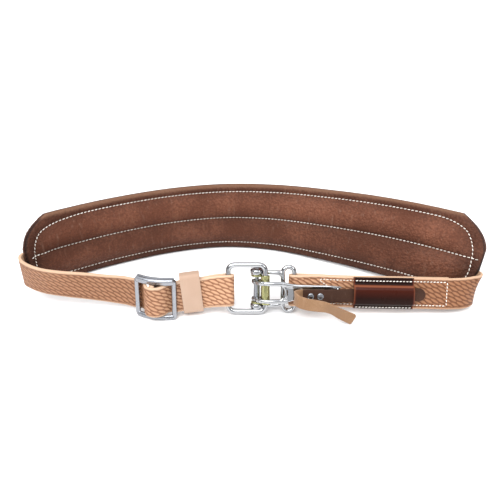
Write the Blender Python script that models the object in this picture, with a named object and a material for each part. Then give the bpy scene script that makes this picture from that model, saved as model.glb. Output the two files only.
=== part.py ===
"""Padded work belt, fastened and standing on its lower edge.

A leather strap runs round the outside of a curved, two-channel back pad. At the front
it is closed by a steel ring and a lever latch. Millimetres become metres through MM.
X runs along the belt's long side, -Y is the front, +Z is up, the floor is z = 0.
"""

import math

import bmesh
import bpy
import numpy as np
from mathutils import Euler, Matrix, Vector

MM = 0.001
SAME_PLACE = 1e-4
GAP = 0.3
SEAM_GAP = 0.45
PAD_SEAM = 0.4

# Where the tables' own frame holds the middle of the belt's outline, on the floor.
BASE_MIDDLE = (0.1, -12.2, 0.0)

# The strap and the two layers of the pad, in millimetres.
STRAP_WIDTH = 40.0
STRAP_THICK = 4.0
BACKING_THICK = 2.5
PAD_HALF = 52.5
END_BOW_LEFT = 46.0
END_BOW_RIGHT = 41.0

# Heights of the cushion over the backing: rolled margin, stitched groove, crown.
MARGIN_THICK = 3.0
GROOVE_THICK = 4.0
CENTRE_GROOVE_THICK = 5.5
CROWN = 9.0
CHANNEL_HALF = 42.0
END_MARGIN = 14.0
END_FADE = 30.0
MIDDLE_COLUMNS = 33

# The pad's middle line from its left tip to its right tip, where backing and cushion
# meet. lean tips the top edge outward in degrees, half scales the pad's height, and
# strap is the height of the strap's middle on the pad's outer face.
PAD_LINE = (
    # x,     y,    z,    lean, half, strap
    (-290.8, -46.5, 51.6, 2.0, 0.97, -11.5),
    (-287.2, -36.0, 51.6, 2.0, 0.97, -11.0),
    (-273.5, -18.0, 51.6, 2.0, 0.97, -10.0),
    (-238.0, 8.0, 51.6, 2.5, 0.97, -8.0),
    (-179.0, 41.5, 51.6, 2.7, 0.97, -5.0),
    (-111.0, 69.5, 51.6, 2.5, 0.97, -3.0),
    (-38.0, 84.0, 51.6, 3.0, 0.97, -1.0),
    (38.0, 76.5, 52.0, 6.5, 0.98, -1.0),
    (110.0, 50.5, 53.4, 12.5, 1.0, -3.0),
    (170.0, 22.5, 54.8, 18.0, 1.02, -8.0),
    (222.0, -7.0, 56.0, 22.0, 1.03, -16.0),
    (275.0, -43.5, 57.0, 25.0, 1.04, -26.0),
    (296.3, -59.1, 57.5, 25.0, 1.04, -31.0),
)

# The strap's free runs: middle of the strap, and how far its upright edge is tipped
# toward +X and +Y in degrees. On the right a second ply lies behind the strap, and
# front says how far the strap stands out in front of it.
LEFT_RUN = (
    # x,     y,    z,   tip_x, tip_y
    (-158.0, -81.8, 29.0, 0.0, 5.0),
    (-178.0, -81.4, 31.6, 0.0, 0.0),
    (-208.0, -81.4, 35.6, 0.0, -3.0),
    (-238.0, -80.6, 38.4, 0.0, -6.0),
    (-260.0, -76.6, 39.5, 0.0, -6.0),
    (-276.0, -69.8, 40.0, 0.0, -5.0),
    (-287.0, -62.6, 40.2, 1.0, -4.0),
    (-293.6, -56.4, 40.3, 1.0, -2.0),
    (-296.4, -50.8, 40.4, 0.0, -1.0),
    (-296.7, -46.0, 40.4, -1.0, 0.0),
)
RIGHT_RUN = (
    # x,     y,    z,   tip_x, tip_y, front
    (286.2, -60.6, 26.2, 17.0, 20.0, 0.0),
    (289.6, -66.6, 25.7, 17.0, 18.0, 0.0),
    (287.6, -73.1, 25.4, 15.0, 18.0, 0.4),
    (280.0, -78.4, 25.4, 10.0, 19.0, 1.6),
    (269.0, -81.6, 25.6, 5.0, 20.0, 3.2),
    (254.0, -83.0, 26.1, 1.0, 20.0, 4.6),
    (224.0, -83.3, 26.9, 0.0, 20.0, 4.5),
    (184.0, -83.2, 27.8, 0.0, 20.0, 4.5),
    (130.0, -82.8, 28.8, 0.0, 20.0, 4.5),
    (108.0, -82.2, 29.2, 0.0, 20.0, 4.5),
    (88.0, -80.6, 29.5, 0.0, 20.0, 4.8),
)

# The ply behind is sewn to the strap and ends here.
BACK_PLY_END = (249.5, -83.1, 26.2, 0.7, 20.0)

# Between the slide buckle and the ring two plies run back to back: their middle, and
# how far apart the middles of the plies lie.
KEEPER_RUN = (
    ((-84.0, -90.2, 27.7, 0.0, 8.5), 5.0),
    ((-72.0, -88.6, 28.5, 0.0, 9.3), 5.0),
    ((-60.0, -87.0, 29.4, 0.0, 10.6), 5.2),
    ((-44.0, -84.6, 30.6, 0.0, 17.0), 9.0),
)

# The slide buckle stands on its lower bar, turned a little and tipped back.
SLIDE_AT = (-117.0, -95.0, 27.6)
SLIDE_TIP = -7.5
SLIDE_TURN = -11.0
SLIDE_WIDE = 53.5
SLIDE_TALL = 54.8
SLIDE_BAR = 4.6
SLIDE_DEPTH = 6.4
SLIDE_CORNER = 5.0
SLIDE_BOW = 5.0
SLIDE_PIN_R = 2.2

# The latch parts share one seat: the hinge pin's middle, tipped back.
LATCH_AT = (8.6, -79.5, 29.8)
LATCH_TIP = -20.0
RING_LEFT = -36.1
RING_RIGHT = 10.7
RING_MID = 2.0
RING_HALF = 30.0
RING_R = 3.5
RING_CORNER = 8.0
RING_OUT = 4.7
PIN_OUT = -2.0
PIN_R = 2.8
PIN_BARREL_R = 4.2
KNUCKLE_R = 7.0
FRAME_ARM = 21.3
FRAME_ARM_TALL = 5.0
FRAME_POST = 33.0
FRAME_BAR = 47.4
FRAME_WIRE_R = 3.0
FRAME_STRAIGHT = 21.3
LEVER_TOP = 9.5
LEVER_LOW = -13.0
LEVER_ARM_TALL = 5.0
LEVER_THICK = 2.6
LEVER_FACE = 10.6
LEVER_END = 106.0
STRIP_MID = -5.0
STRIP_RISE = 0.004
STRIP_WIDTH = 16.5
STRIP_THICK = 2.8
TAB_THICK = 1.6
TAB_WIDTH = 15.5
RIVET_AT = (66.5, 78.5)
RIVET_R = 4.1
SHANK_R = 1.5


def material(name, colour, roughness, metallic=0.0):
    made = bpy.data.materials.new(name)
    made.use_nodes = True
    shader = made.node_tree.nodes["Principled BSDF"]
    shader.inputs["Base Color"].default_value = (*colour, 1.0)
    shader.inputs["Roughness"].default_value = roughness
    shader.inputs["Metallic"].default_value = metallic
    return made


def place(name, bm, skin, smooth=35.0):
    """Turns a bmesh in millimetres into one named object in metres."""
    bmesh.ops.recalc_face_normals(bm, faces=bm.faces)
    bmesh.ops.scale(bm, vec=(MM, MM, MM), verts=bm.verts)
    mesh = bpy.data.meshes.new(name)
    bm.to_mesh(mesh)
    bm.free()
    mesh.materials.append(skin)
    mesh.shade_smooth()
    mesh.set_sharp_from_angle(angle=math.radians(smooth))
    made = bpy.data.objects.new(name, mesh)
    bpy.context.scene.collection.objects.link(made)
    return made


def curve_through(rows, step):
    """A smooth line through table rows, read about every step millimetres."""
    rows = np.array(rows, dtype=float)
    chord = np.linalg.norm(np.diff(rows[:, :3], axis=0), axis=1)
    at = np.concatenate([[0.0], np.cumsum(chord)])
    slope = np.gradient(rows, at, axis=0)
    read = []
    for i, length in enumerate(chord):
        count = max(1, int(round(length / step)))
        for t in np.arange(count) / count:
            read.append(hermite(rows[i], rows[i + 1], slope[i], slope[i + 1], length, t))
    read.append(rows[-1])
    return np.array(read)


def hermite(p0, p1, m0, m1, length, t):
    h00 = 2 * t**3 - 3 * t**2 + 1
    h10 = t**3 - 2 * t**2 + t
    h01 = 3 * t**2 - 2 * t**3
    h11 = t**3 - t**2
    return h00 * p0 + h10 * length * m0 + h01 * p1 + h11 * length * m1


class PadFace:
    """The curved face between backing and cushion, addressed along and up the pad."""

    def __init__(self, table):
        self.rows = curve_through(table, 6.0)
        chord = np.linalg.norm(np.diff(self.rows[:, :2], axis=0), axis=1)
        self.at = np.concatenate([[0.0], np.cumsum(chord)])
        self.length = self.at[-1]
        self.slope = np.gradient(self.rows, self.at, axis=0)

    def row(self, s):
        return np.array([np.interp(s, self.at, column) for column in self.rows.T])

    def frame(self, s):
        row = self.row(s)
        along = Vector([float(np.interp(s, self.at, self.slope[:, k])) for k in (0, 1)] + [0.0])
        along.normalize()
        out = Vector((-along.y, along.x, 0.0))
        lean = math.radians(row[3])
        up = out * math.sin(lean) + Vector((0, 0, 1)) * math.cos(lean)
        outward = out * math.cos(lean) - Vector((0, 0, 1)) * math.sin(lean)
        return Vector(row[:3]), up, outward, row[4], row[5]

    def point(self, s, v, depth):
        middle, up, outward, half, _ = self.frame(s)
        return middle + up * v * half + outward * depth


def along_pad(face, v, f):
    """Distance along the pad at fraction f between its bowed ends, and from the nearer end."""
    left = END_BOW_LEFT * (v / PAD_HALF) ** 2
    right = END_BOW_RIGHT * (v / PAD_HALF) ** 2
    span = face.length - left - right
    return left + f * span, min(f, 1 - f) * span


def ease(value):
    value = min(1.0, max(0.0, value))
    return value * value * (3 - 2 * value)


def cushion_height(v, from_end):
    """Thickness of the cushion at height v, from_end millimetres in from its end edge."""
    outside = abs(v) - CHANNEL_HALF
    if outside >= 0:
        return GROOVE_THICK + (MARGIN_THICK - GROOVE_THICK) * min(1.0, outside / 3.0)
    middle = 1 - abs(v) / CHANNEL_HALF
    floor = GROOVE_THICK + (CENTRE_GROOVE_THICK - GROOVE_THICK) * middle
    crown = CROWN * math.sin(math.pi * abs(v) / CHANNEL_HALF) ** 0.65
    fade = ease((from_end - END_MARGIN) / END_FADE) ** 0.6
    return MARGIN_THICK + (floor + crown - MARGIN_THICK) * fade


def pad_layer(name, face, heights, columns, front, back, skin):
    """A closed sheet between two depths, over the pad's bowed outline."""
    bm = bmesh.new()
    sides = []
    for depth in (front, back):
        grid = []
        for v in heights:
            line = []
            for f in columns:
                s, edge = along_pad(face, v, f)
                line.append(bm.verts.new(face.point(s, v, depth(v, edge))))
            grid.append(line)
        sides.append(grid)
    rows, cols = len(heights), len(columns)
    for side, grid in enumerate(sides):
        for i in range(rows - 1):
            for j in range(cols - 1):
                quad = [grid[i][j], grid[i][j + 1], grid[i + 1][j + 1], grid[i + 1][j]]
                bm.faces.new(quad if side == 0 else quad[::-1])
    rim = [(0, j) for j in range(cols)] + [(i, cols - 1) for i in range(1, rows)]
    rim += [(rows - 1, j) for j in range(cols - 2, -1, -1)] + [(i, 0) for i in range(rows - 2, 0, -1)]
    for (i, j), (m, n) in zip(rim, rim[1:] + rim[:1]):
        bm.faces.new([sides[0][i][j], sides[0][m][n], sides[1][m][n], sides[1][i][j]])
    return place(name, bm, skin)


def pad_columns(length):
    """Places along the pad, closer together near both ends."""
    near = [0.0, 6.0, 14.0, 21.0, 29.0, 38.0, 49.0]
    left = [e / length for e in near]
    inner = np.linspace(left[-1], 1 - left[-1], MIDDLE_COLUMNS)[1:-1]
    return left + list(inner) + [1 - f for f in reversed(left)]


def ribbon(name, stations, width, thick, skin, step=11.0, round_end=False):
    """A flat strip of leather swept through stations of a middle point and an upright."""
    rows = curve_through([(*p, *u) for p, u in stations], step)
    points = [Vector(row[:3]) for row in rows]
    bm = bmesh.new()
    rings = []
    for i, here in enumerate(points):
        before = points[max(0, i - 1)]
        after = points[min(len(points) - 1, i + 1)]
        along = (after - before).normalized()
        up = Vector(rows[i][3:])
        up = (up - along * up.dot(along)).normalized()
        out = along.cross(up)
        half = width / 2
        if round_end:
            left = (points[-1] - here).length
            if left < half:
                half = max(width * 0.12, math.sqrt(max(0.0, half**2 - (half - left) ** 2)))
        ring = []
        for a, b in ((-1, -1), (-1, 1), (1, 1), (1, -1)):
            ring.append(bm.verts.new(here + up * a * half + out * b * thick / 2))
        rings.append(ring)
    for first, second in zip(rings, rings[1:]):
        for k in range(4):
            m = (k + 1) % 4
            bm.faces.new([first[k], first[m], second[m], second[k]])
    bm.faces.new(rings[0][::-1])
    bm.faces.new(rings[-1])
    return place(name, bm, skin, 50.0)


def hoop(name, path, ring_of, skin):
    """A closed bar: ring_of gives the section's corners at each point of the path."""
    bm = bmesh.new()
    rings = [[bm.verts.new(p) for p in ring_of(i)] for i in range(len(path))]
    sides = len(rings[0])
    for first, second in zip(rings, rings[1:] + rings[:1]):
        for k in range(sides):
            m = (k + 1) % sides
            bm.faces.new([first[k], first[m], second[m], second[k]])
    return place(name, bm, skin, 40.0)


def rounded_box(x0, x1, z0, z1, corner, per_corner):
    """Points round a rectangle with rounded corners in the XZ plane."""
    path = []
    centres = ((x1 - corner, z1 - corner, 0), (x0 + corner, z1 - corner, 90))
    centres += ((x0 + corner, z0 + corner, 180), (x1 - corner, z0 + corner, 270))
    for cx, cz, start in centres:
        for k in range(per_corner + 1):
            angle = math.radians(start + 90 * k / per_corner)
            point = Vector((cx + corner * math.cos(angle), 0, cz + corner * math.sin(angle)))
            if not path or (point - path[-1]).length > SAME_PLACE:
                path.append(point)
    if (path[0] - path[-1]).length < SAME_PLACE:
        path.pop()
    return path


def round_hoop(name, path, radius, sides, skin):
    """A round bar bent into a closed hoop that lies in the XZ plane."""
    count = len(path)

    def ring_of(i):
        along = (path[(i + 1) % count] - path[i - 1]).normalized()
        inward = along.cross(Vector((0, 1, 0)))
        turns = [2 * math.pi * k / sides for k in range(sides)]
        return [path[i] + inward * radius * math.cos(t) + Vector((0, radius * math.sin(t), 0)) for t in turns]

    return hoop(name, path, ring_of, skin)


def slab(name, outline, low, high, axis, skin, bevel=0.0):
    """A plate: an outline extruded from low to high along Y or Z."""
    bm = bmesh.new()
    ends = []
    for level in (low, high):
        if axis == "Z":
            ends.append([bm.verts.new((x, y, level)) for x, y in outline])
        else:
            ends.append([bm.verts.new((x, level, z)) for x, z in outline])
    bm.faces.new(ends[0][::-1])
    bm.faces.new(ends[1])
    count = len(outline)
    for k in range(count):
        m = (k + 1) % count
        bm.faces.new([ends[0][k], ends[0][m], ends[1][m], ends[1][k]])
    made = place(name, bm, skin, 30.0)
    if bevel:
        edge = made.modifiers.new("soft edge", "BEVEL")
        edge.width = bevel * MM
        edge.segments = 1
        edge.limit_method = "ANGLE"
    return made


def disc(x, y, radius, sides, start=0.0):
    turns = [start + 2 * math.pi * k / sides for k in range(sides)]
    return [(x + radius * math.cos(t), y + radius * math.sin(t)) for t in turns]


def join(base, others, operation="UNION"):
    """Joins or cuts solids, and leaves only the result."""
    for other in others:
        step = base.modifiers.new(operation.lower(), "BOOLEAN")
        step.operation = operation
        step.solver = "EXACT"
        step.object = other
    bpy.context.view_layer.update()
    graph = bpy.context.evaluated_depsgraph_get()
    whole = bpy.data.meshes.new_from_object(base.evaluated_get(graph))
    base.modifiers.clear()
    base.data = whole
    for other in others:
        bpy.data.objects.remove(other)
    return base


def seat(name, at, tip, turn=0.0, roll=0.0):
    """An empty that carries a group of parts, tipped back, rolled and turned."""
    empty = bpy.data.objects.new(name, None)
    empty.location = Vector(at) * MM
    empty.rotation_euler = Euler([math.radians(angle) for angle in (tip, roll, turn)])
    bpy.context.scene.collection.objects.link(empty)
    return empty


def seat_matrix(at, tip, turn=0.0):
    turned = Euler((math.radians(tip), 0.0, math.radians(turn))).to_matrix().to_4x4()
    return Matrix.Translation(Vector(at)) @ turned


def seated(matrix, a, b, out):
    """A strap station in a seat: a along X, b up, out toward the front."""
    return matrix @ Vector((a, -out, b)), matrix.to_3x3() @ Vector((0, 0, 1))


def tipped(row):
    x, y, z, tip_x, tip_y = row[:5]
    up = Vector((math.tan(math.radians(tip_x)), math.tan(math.radians(tip_y)), 1.0))
    return Vector((x, y, z)), up.normalized()


def apart(station, distance):
    """Moves a station toward the front, square to the strap's face."""
    point, up = station
    return point + Vector((0, -up.z, up.y)).normalized() * distance, up


def round_turn(matrix, a, out, b, radius, start, stop, steps):
    """Stations round a bar, by angle from +X toward the front."""
    stations = []
    for k in range(steps + 1):
        angle = math.radians(start + (stop - start) * k / steps)
        stations.append(seated(matrix, a + radius * math.cos(angle), b, out + radius * math.sin(angle)))
    return stations


def clear_scene():
    for old in list(bpy.data.objects):
        bpy.data.objects.remove(old)


def carry_to_origin():
    """Puts the belt's lowest point, at the middle of its outline, on the origin."""
    whole = bpy.data.objects.new("belt", None)
    whole.location = -Vector(BASE_MIDDLE) * MM
    bpy.context.scene.collection.objects.link(whole)
    for made in list(bpy.context.scene.collection.objects):
        if made is not whole and made.parent is None:
            made.parent = whole


def make_pad(face, skins):
    heights = [0.0, 4.5, 13.0, 23.0, 33.0, 39.5, 42.5, PAD_HALF]
    heights = [-v for v in reversed(heights[1:])] + heights
    columns = pad_columns(face.length)

    def crowned(v, from_end):
        edge = min(PAD_HALF - abs(v), from_end)
        rolled = 0.4 + 0.6 * ease(edge / 2.0)
        return -cushion_height(v, from_end) * rolled

    def inner_face(v, from_end):
        return -PAD_SEAM

    def backing_inner(v, from_end):
        return PAD_SEAM

    def backing_outer(v, from_end):
        return PAD_SEAM + BACKING_THICK

    pad_layer("pad_cushion", face, heights, columns, crowned, inner_face, skins["pad"])
    pad_layer("pad_backing", face, heights, columns, backing_inner, backing_outer, skins["backing"])


def strap_on_pad(face):
    """Stations along the pad's outer face, from its left end to its right end."""
    depth = PAD_SEAM + BACKING_THICK + SEAM_GAP + STRAP_THICK / 2
    stations = []
    for f in pad_columns(face.length)[1:-3]:
        _, up, _, half, lift = face.frame(f * face.length)
        s, _ = along_pad(face, lift / half, f)
        stations.append((face.point(s, lift / half, depth), up))
    return stations


def make_strap(face, skins):
    slide = seat_matrix(SLIDE_AT, SLIDE_TIP, SLIDE_TURN)
    latch = seat_matrix(LATCH_AT, LATCH_TIP)
    lift = 0.0
    half = STRAP_THICK / 2
    behind = -(SLIDE_DEPTH / 2 + GAP + half)
    loop_r = SLIDE_PIN_R + GAP + half
    over = SLIDE_BOW + loop_r + STRAP_THICK + 3 * GAP
    ply = STRAP_THICK + GAP

    path = round_turn(slide, 0.0, SLIDE_BOW, lift, loop_r, 75.0, 285.0, 8)
    for a, out in ((11.5, -5.0), (18.5, behind - 4.7), (25.0, behind - ply - 5 * GAP)):
        path.append(seated(slide, a, lift, out))
    pairs = [(tipped(row), spread) for row, spread in KEEPER_RUN]
    path += [apart(station, -spread / 2) for station, spread in pairs]
    fold_r = RING_R + GAP + half
    path += round_turn(latch, RING_LEFT, RING_OUT, 0.0, fold_r, -95.0, 95.0, 8)
    path += [apart(station, spread / 2) for station, spread in reversed(pairs)]
    hump = ((24.5, behind - 2 * GAP), (20.6, behind - 0.4), (15.5, -2.0), (10.8, 7.4), (6.8, over - 2.0))
    hump += ((0.0, over), (-6.8, over - 2.0), (-10.8, 7.4), (-15.5, -2.0), (-20.6, behind - 0.4))
    hump += ((-24.5, behind),)
    path += [seated(slide, a, lift, out) for a, out in hump]
    path += [tipped(row) for row in LEFT_RUN]
    path += strap_on_pad(face)
    path += [apart(tipped(row), row[5]) for row in RIGHT_RUN]
    bar_r = FRAME_WIRE_R + GAP + half
    path += round_turn(latch, FRAME_BAR, 0.0, -1.0, bar_r, -275.0, -85.0, 8)
    path += [tipped(row) for row in reversed(RIGHT_RUN[6:])]
    path.append(tipped(BACK_PLY_END))
    return ribbon("belt_strap", path, STRAP_WIDTH, STRAP_THICK, skins["strap"])


def make_slide(skins):
    carrier = seat("slide_seat", SLIDE_AT, SLIDE_TIP, SLIDE_TURN)
    half_bar = SLIDE_BAR / 2
    x, z = SLIDE_WIDE / 2 - half_bar, SLIDE_TALL / 2 - half_bar
    corners = rounded_box(-x, x, -z, z, SLIDE_CORNER - half_bar, 3)
    path = []
    for here, after in zip(corners, corners[1:] + corners[:1]):
        count = 6 if (after - here).length > 20 and abs(after.x - here.x) > 20 else 1
        path += [here.lerp(after, k / count) for k in range(count)]
    middle = [p + Vector((0, -SLIDE_BOW * (1 - (p.x / x) ** 2), 0)) for p in path]

    def ring_of(i):
        along = (path[(i + 1) % len(path)] - path[i - 1]).normalized()
        across = along.cross(Vector((0, 1, 0)))
        deep = SLIDE_DEPTH / 2
        corners = ((1, 0.6), (0.6, 1), (-0.6, 1), (-1, 0.6), (-1, -0.6), (-0.6, -1), (0.6, -1), (1, -0.6))
        return [middle[i] + across * a * half_bar + Vector((0, b * deep, 0)) for a, b in corners]

    frame = hoop("slide_buckle", path, ring_of, skins["steel"])
    bar = slab("bar", disc(0.0, -SLIDE_BOW, SLIDE_PIN_R, 10), -z - 0.7, z + 0.7, "Z", skins["steel"])
    join(frame, [bar])
    frame.parent = carrier


def make_keeper(skins):
    """A closed loop of plain leather round both plies of the strap."""
    carrier = seat("keeper_seat", (-73.2, -88.8, 28.7), -9.3, 7.5, -4.5)
    wall = 2.4
    inner_y = STRAP_THICK + GAP / 2 + 1.5
    inner_z = STRAP_WIDTH / 2 + 1.0
    bm = bmesh.new()
    rings = []
    for x in (-12.3, 12.3):
        for grow in (0.0, wall):
            y, z = inner_y + grow, inner_z + grow
            corner = 1.2 + grow
            path = rounded_box(-y, y, -z, z, corner, 3)
            rings.append([bm.verts.new((x, p.x, p.z)) for p in path])
    count = len(rings[0])
    for first, second in ((0, 1), (1, 3), (3, 2), (2, 0)):
        for k in range(count):
            m = (k + 1) % count
            bm.faces.new([rings[first][k], rings[first][m], rings[second][m], rings[second][k]])
    keeper = place("strap_keeper", bm, skins["keeper"])
    keeper.parent = carrier


def pin_hole(name, low, high):
    return slab(name, disc(0.0, -PIN_OUT, PIN_R + GAP, 16), low, high, "Z", None)


def make_latch(skins):
    carrier = seat("latch_seat", LATCH_AT, LATCH_TIP)
    ring_path = rounded_box(RING_LEFT, RING_RIGHT, RING_MID - RING_HALF, RING_MID + RING_HALF, RING_CORNER, 5)
    ring_path = [p + Vector((0, -RING_OUT, 0)) for p in ring_path]
    ring = round_hoop("latch_ring", ring_path, RING_R, 12, skins["chrome"])

    mid = (FRAME_POST + FRAME_BAR) / 2
    bend = (FRAME_BAR - FRAME_POST) / 2
    loop = rounded_box(FRAME_POST, FRAME_BAR, -FRAME_STRAIGHT - bend, FRAME_STRAIGHT + bend, bend, 5)
    frame = round_hoop("latch_frame", loop, FRAME_WIRE_R, 12, skins["chrome"])
    arms = []
    for side in (-1, 1):
        low = side * FRAME_ARM - FRAME_ARM_TALL / 2
        eye = disc(0.0, -PIN_OUT, KNUCKLE_R, 16, math.pi / 16)
        arm = [(2.0, -0.9), (mid - bend + 1.0, -1.5), (mid - bend + 1.0, 3.0), (2.0, 6.5)]
        arms.append(slab("eye", eye, low, low + FRAME_ARM_TALL, "Z", skins["chrome"]))
        arms.append(slab("arm", arm, low + 0.2, low + FRAME_ARM_TALL - 0.2, "Z", skins["chrome"]))
    join(frame, arms)
    tall = FRAME_ARM + FRAME_ARM_TALL
    join(frame, [pin_hole("hole", -tall, tall)], "DIFFERENCE")

    pin = slab("hinge_pin", disc(0.0, -PIN_OUT, PIN_R, 14), -25.4, 25.4, "Z", skins["steel"])
    barrel = slab("barrel", disc(0.0, -PIN_OUT, PIN_BARREL_R, 14), -10.2, 6.7, "Z", skins["steel"])
    heads = [slab("head", disc(0.0, -PIN_OUT, 4.4, 14), z - 0.6, z + 0.6, "Z", skins["steel"]) for z in (-24.8, 24.8)]
    join(pin, [barrel] + heads)

    gate = make_gate(skins)
    lever = make_lever(skins)
    for piece in (ring, frame, pin, gate, lever):
        piece.parent = carrier


def make_gate(skins):
    """A plated half-round cover over the ring's right side, eared onto the pin."""
    inner, outer = RING_R + GAP, RING_R + GAP + 2.0
    turns = [math.radians(-35 + 250 * k / 12) for k in range(13)]
    outline = [(RING_RIGHT + outer * math.cos(t), -RING_OUT - outer * math.sin(t)) for t in turns]
    outline += [(RING_RIGHT + inner * math.cos(t), -RING_OUT - inner * math.sin(t)) for t in reversed(turns)]
    tall = FRAME_ARM - FRAME_ARM_TALL / 2 - GAP
    gate = slab("latch_gate", outline, -tall, tall, "Z", skins["zinc"])
    ears = []
    for low in (-tall, tall - 2.2):
        ears.append(slab("ear", disc(0.0, -PIN_OUT, 7.5, 18), low, low + 2.2, "Z", skins["zinc"]))
    join(gate, ears)
    return join(gate, [pin_hole("hole", -tall - 1, tall + 1)], "DIFFERENCE")


def make_lever(skins):
    """A forked lever: two arms from the pin, a web, and a flat blade."""
    back, front = -LEVER_FACE, -LEVER_FACE - LEVER_THICK
    blade = [(31.0, -15.0), (31.0, 11.5), (35.0, 11.0), (44.0, 7.0), (LEVER_END - 8, 4.6), (LEVER_END, 1.5)]
    blade += [(LEVER_END, -7.0), (LEVER_END - 8, -11.0), (46.0, -11.8), (38.0, -14.6)]
    lever = slab("latch_lever", blade, front, back, "Y", skins["chrome"], 0.4)
    pieces = []
    for level, far in ((LEVER_TOP, 4.8), (LEVER_LOW, -12.0)):
        low, high = level - LEVER_ARM_TALL / 2, level + LEVER_ARM_TALL / 2
        eye = disc(0.0, -PIN_OUT, KNUCKLE_R - 0.4, 16)
        pieces.append(slab("eye", eye, low, high, "Z", skins["chrome"]))
        neck = [(-2.6, -2.0), (-1.0, -8.5), (4.6, -13.6), (15.0, -14.4), (35.5, front), (35.5, back)]
        neck += [(16.0, -11.0), (7.2, -10.6), (4.4, -6.0), (4.4, -2.0)]
        pieces.append(slab("neck", neck, low + 0.2, high - 0.2, "Z", skins["chrome"]))
    join(lever, pieces)
    cutters = [pin_hole("hole", LEVER_LOW - 6, LEVER_TOP + 6)]
    window = [(20.0, -10.2)] + [(28.0 + 7 * math.cos(t), -1.75 + 8.3 * math.sin(t)) for t in
                                [math.radians(-80 + 160 * k / 8) for k in range(9)]] + [(20.0, 6.7)]
    cutters.append(slab("window", window, front - 4, back + 4, "Y", None))
    cutters += [shank("hole", x, back + 4, front - 4, SHANK_R + GAP) for x in RIVET_AT]
    return join(lever, cutters, "DIFFERENCE")


def shank(name, x, back, front, radius):
    """A short round bar through the lever's blade, at the strip's middle height."""
    turned = slab(name, disc(x, STRIP_MID, radius, 10), -back, -front, "Z", None)
    turned.data.transform(Matrix.Rotation(math.radians(90), 4, "X"))
    return turned


def make_strip(skins):
    """The ribbed strip riveted to the lever, the pull tab under it, and the rivets."""
    latch = seat_matrix(LATCH_AT, LATCH_TIP)
    blade_front = LEVER_FACE + LEVER_THICK
    tab_mid = blade_front + SEAM_GAP + TAB_THICK / 2
    strip_mid = tab_mid + TAB_THICK / 2 + SEAM_GAP + STRIP_THICK / 2
    line = ((57.0, 0.0), (68.0, 0.0), (86.0, 0.0), (96.0, -1.2), (107.0, -1.9), (117.0, -3.2),
            (127.0, -4.2), (150.0, -4.8), (180.0, -5.0), (196.0, -5.0), (210.0, -4.8))
    stations = [seated(latch, a, STRIP_MID + STRIP_RISE * (a - line[0][0]), strip_mid + out) for a, out in line]
    strip = ribbon("lever_strip", stations, STRIP_WIDTH, STRIP_THICK, skins["strip"], 5.0, True)

    tab_line = [seated(latch, a, STRIP_MID, tab_mid) for a in (84.0, 74.0, 62.0, 54.0)]
    for row in (
        (55.6, -99.5, 30.9, 0.0, 18.0),
        (58.5, -105.2, 29.6, 0.0, 14.0),
        (68.0, -108.6, 27.2, 0.0, 12.0),
        (80.0, -110.0, 25.6, 0.0, 10.0),
        (91.0, -111.0, 24.2, 0.0, 0.0),
        (101.0, -112.4, 21.0, 0.0, -12.0),
        (112.0, -113.8, 15.6, 10.0, -4.0),
        (127.5, -115.8, 8.4, 10.0, 4.0),
    ):
        tab_line.append(tipped(row))
    tab = ribbon("pull_tab", tab_line, TAB_WIDTH, TAB_THICK, skins["tab"], 4.0)

    matrix = seat("rivet_seat", LATCH_AT, LATCH_TIP)
    for piece in (strip, tab):
        cutters = [shank("hole", x, 0.0, strip_mid * -2, SHANK_R + GAP) for x in RIVET_AT]
        for cutter in cutters:
            cutter.data.transform(Matrix.Translation(Vector(LATCH_AT) * MM) @
                                  matrix.rotation_euler.to_matrix().to_4x4())
        join(piece, cutters, "DIFFERENCE")
    face = strip_mid + STRIP_THICK / 2 + GAP
    for number, x in enumerate(RIVET_AT, 1):
        rivet = rivet_head("rivet_%d" % number, x, face, skins["steel"])
        stem = shank("stem", x, -LEVER_FACE, -face - 0.5, SHANK_R)
        join(rivet, [stem])
        rivet.parent = matrix


def rivet_head(name, x, face, skin):
    """A domed head that rests on the strip."""
    bm = bmesh.new()
    levels = ((RIVET_R, 0.0), (RIVET_R, 0.4), (RIVET_R * 0.75, 1.2))
    sides = 14
    rings = []
    for radius, high in levels:
        turns = [2 * math.pi * k / sides for k in range(sides)]
        ring = [(x + radius * math.cos(t), -face - high, STRIP_MID + radius * math.sin(t)) for t in turns]
        rings.append([bm.verts.new(p) for p in ring])
    for first, second in zip(rings, rings[1:]):
        for k in range(sides):
            m = (k + 1) % sides
            bm.faces.new([first[k], first[m], second[m], second[k]])
    bm.faces.new(rings[0][::-1])
    top = bm.verts.new((x, -face - 1.6, STRIP_MID))
    for k in range(sides):
        bm.faces.new([rings[-1][k], rings[-1][(k + 1) % sides], top])
    return place(name, bm, skin)


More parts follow.
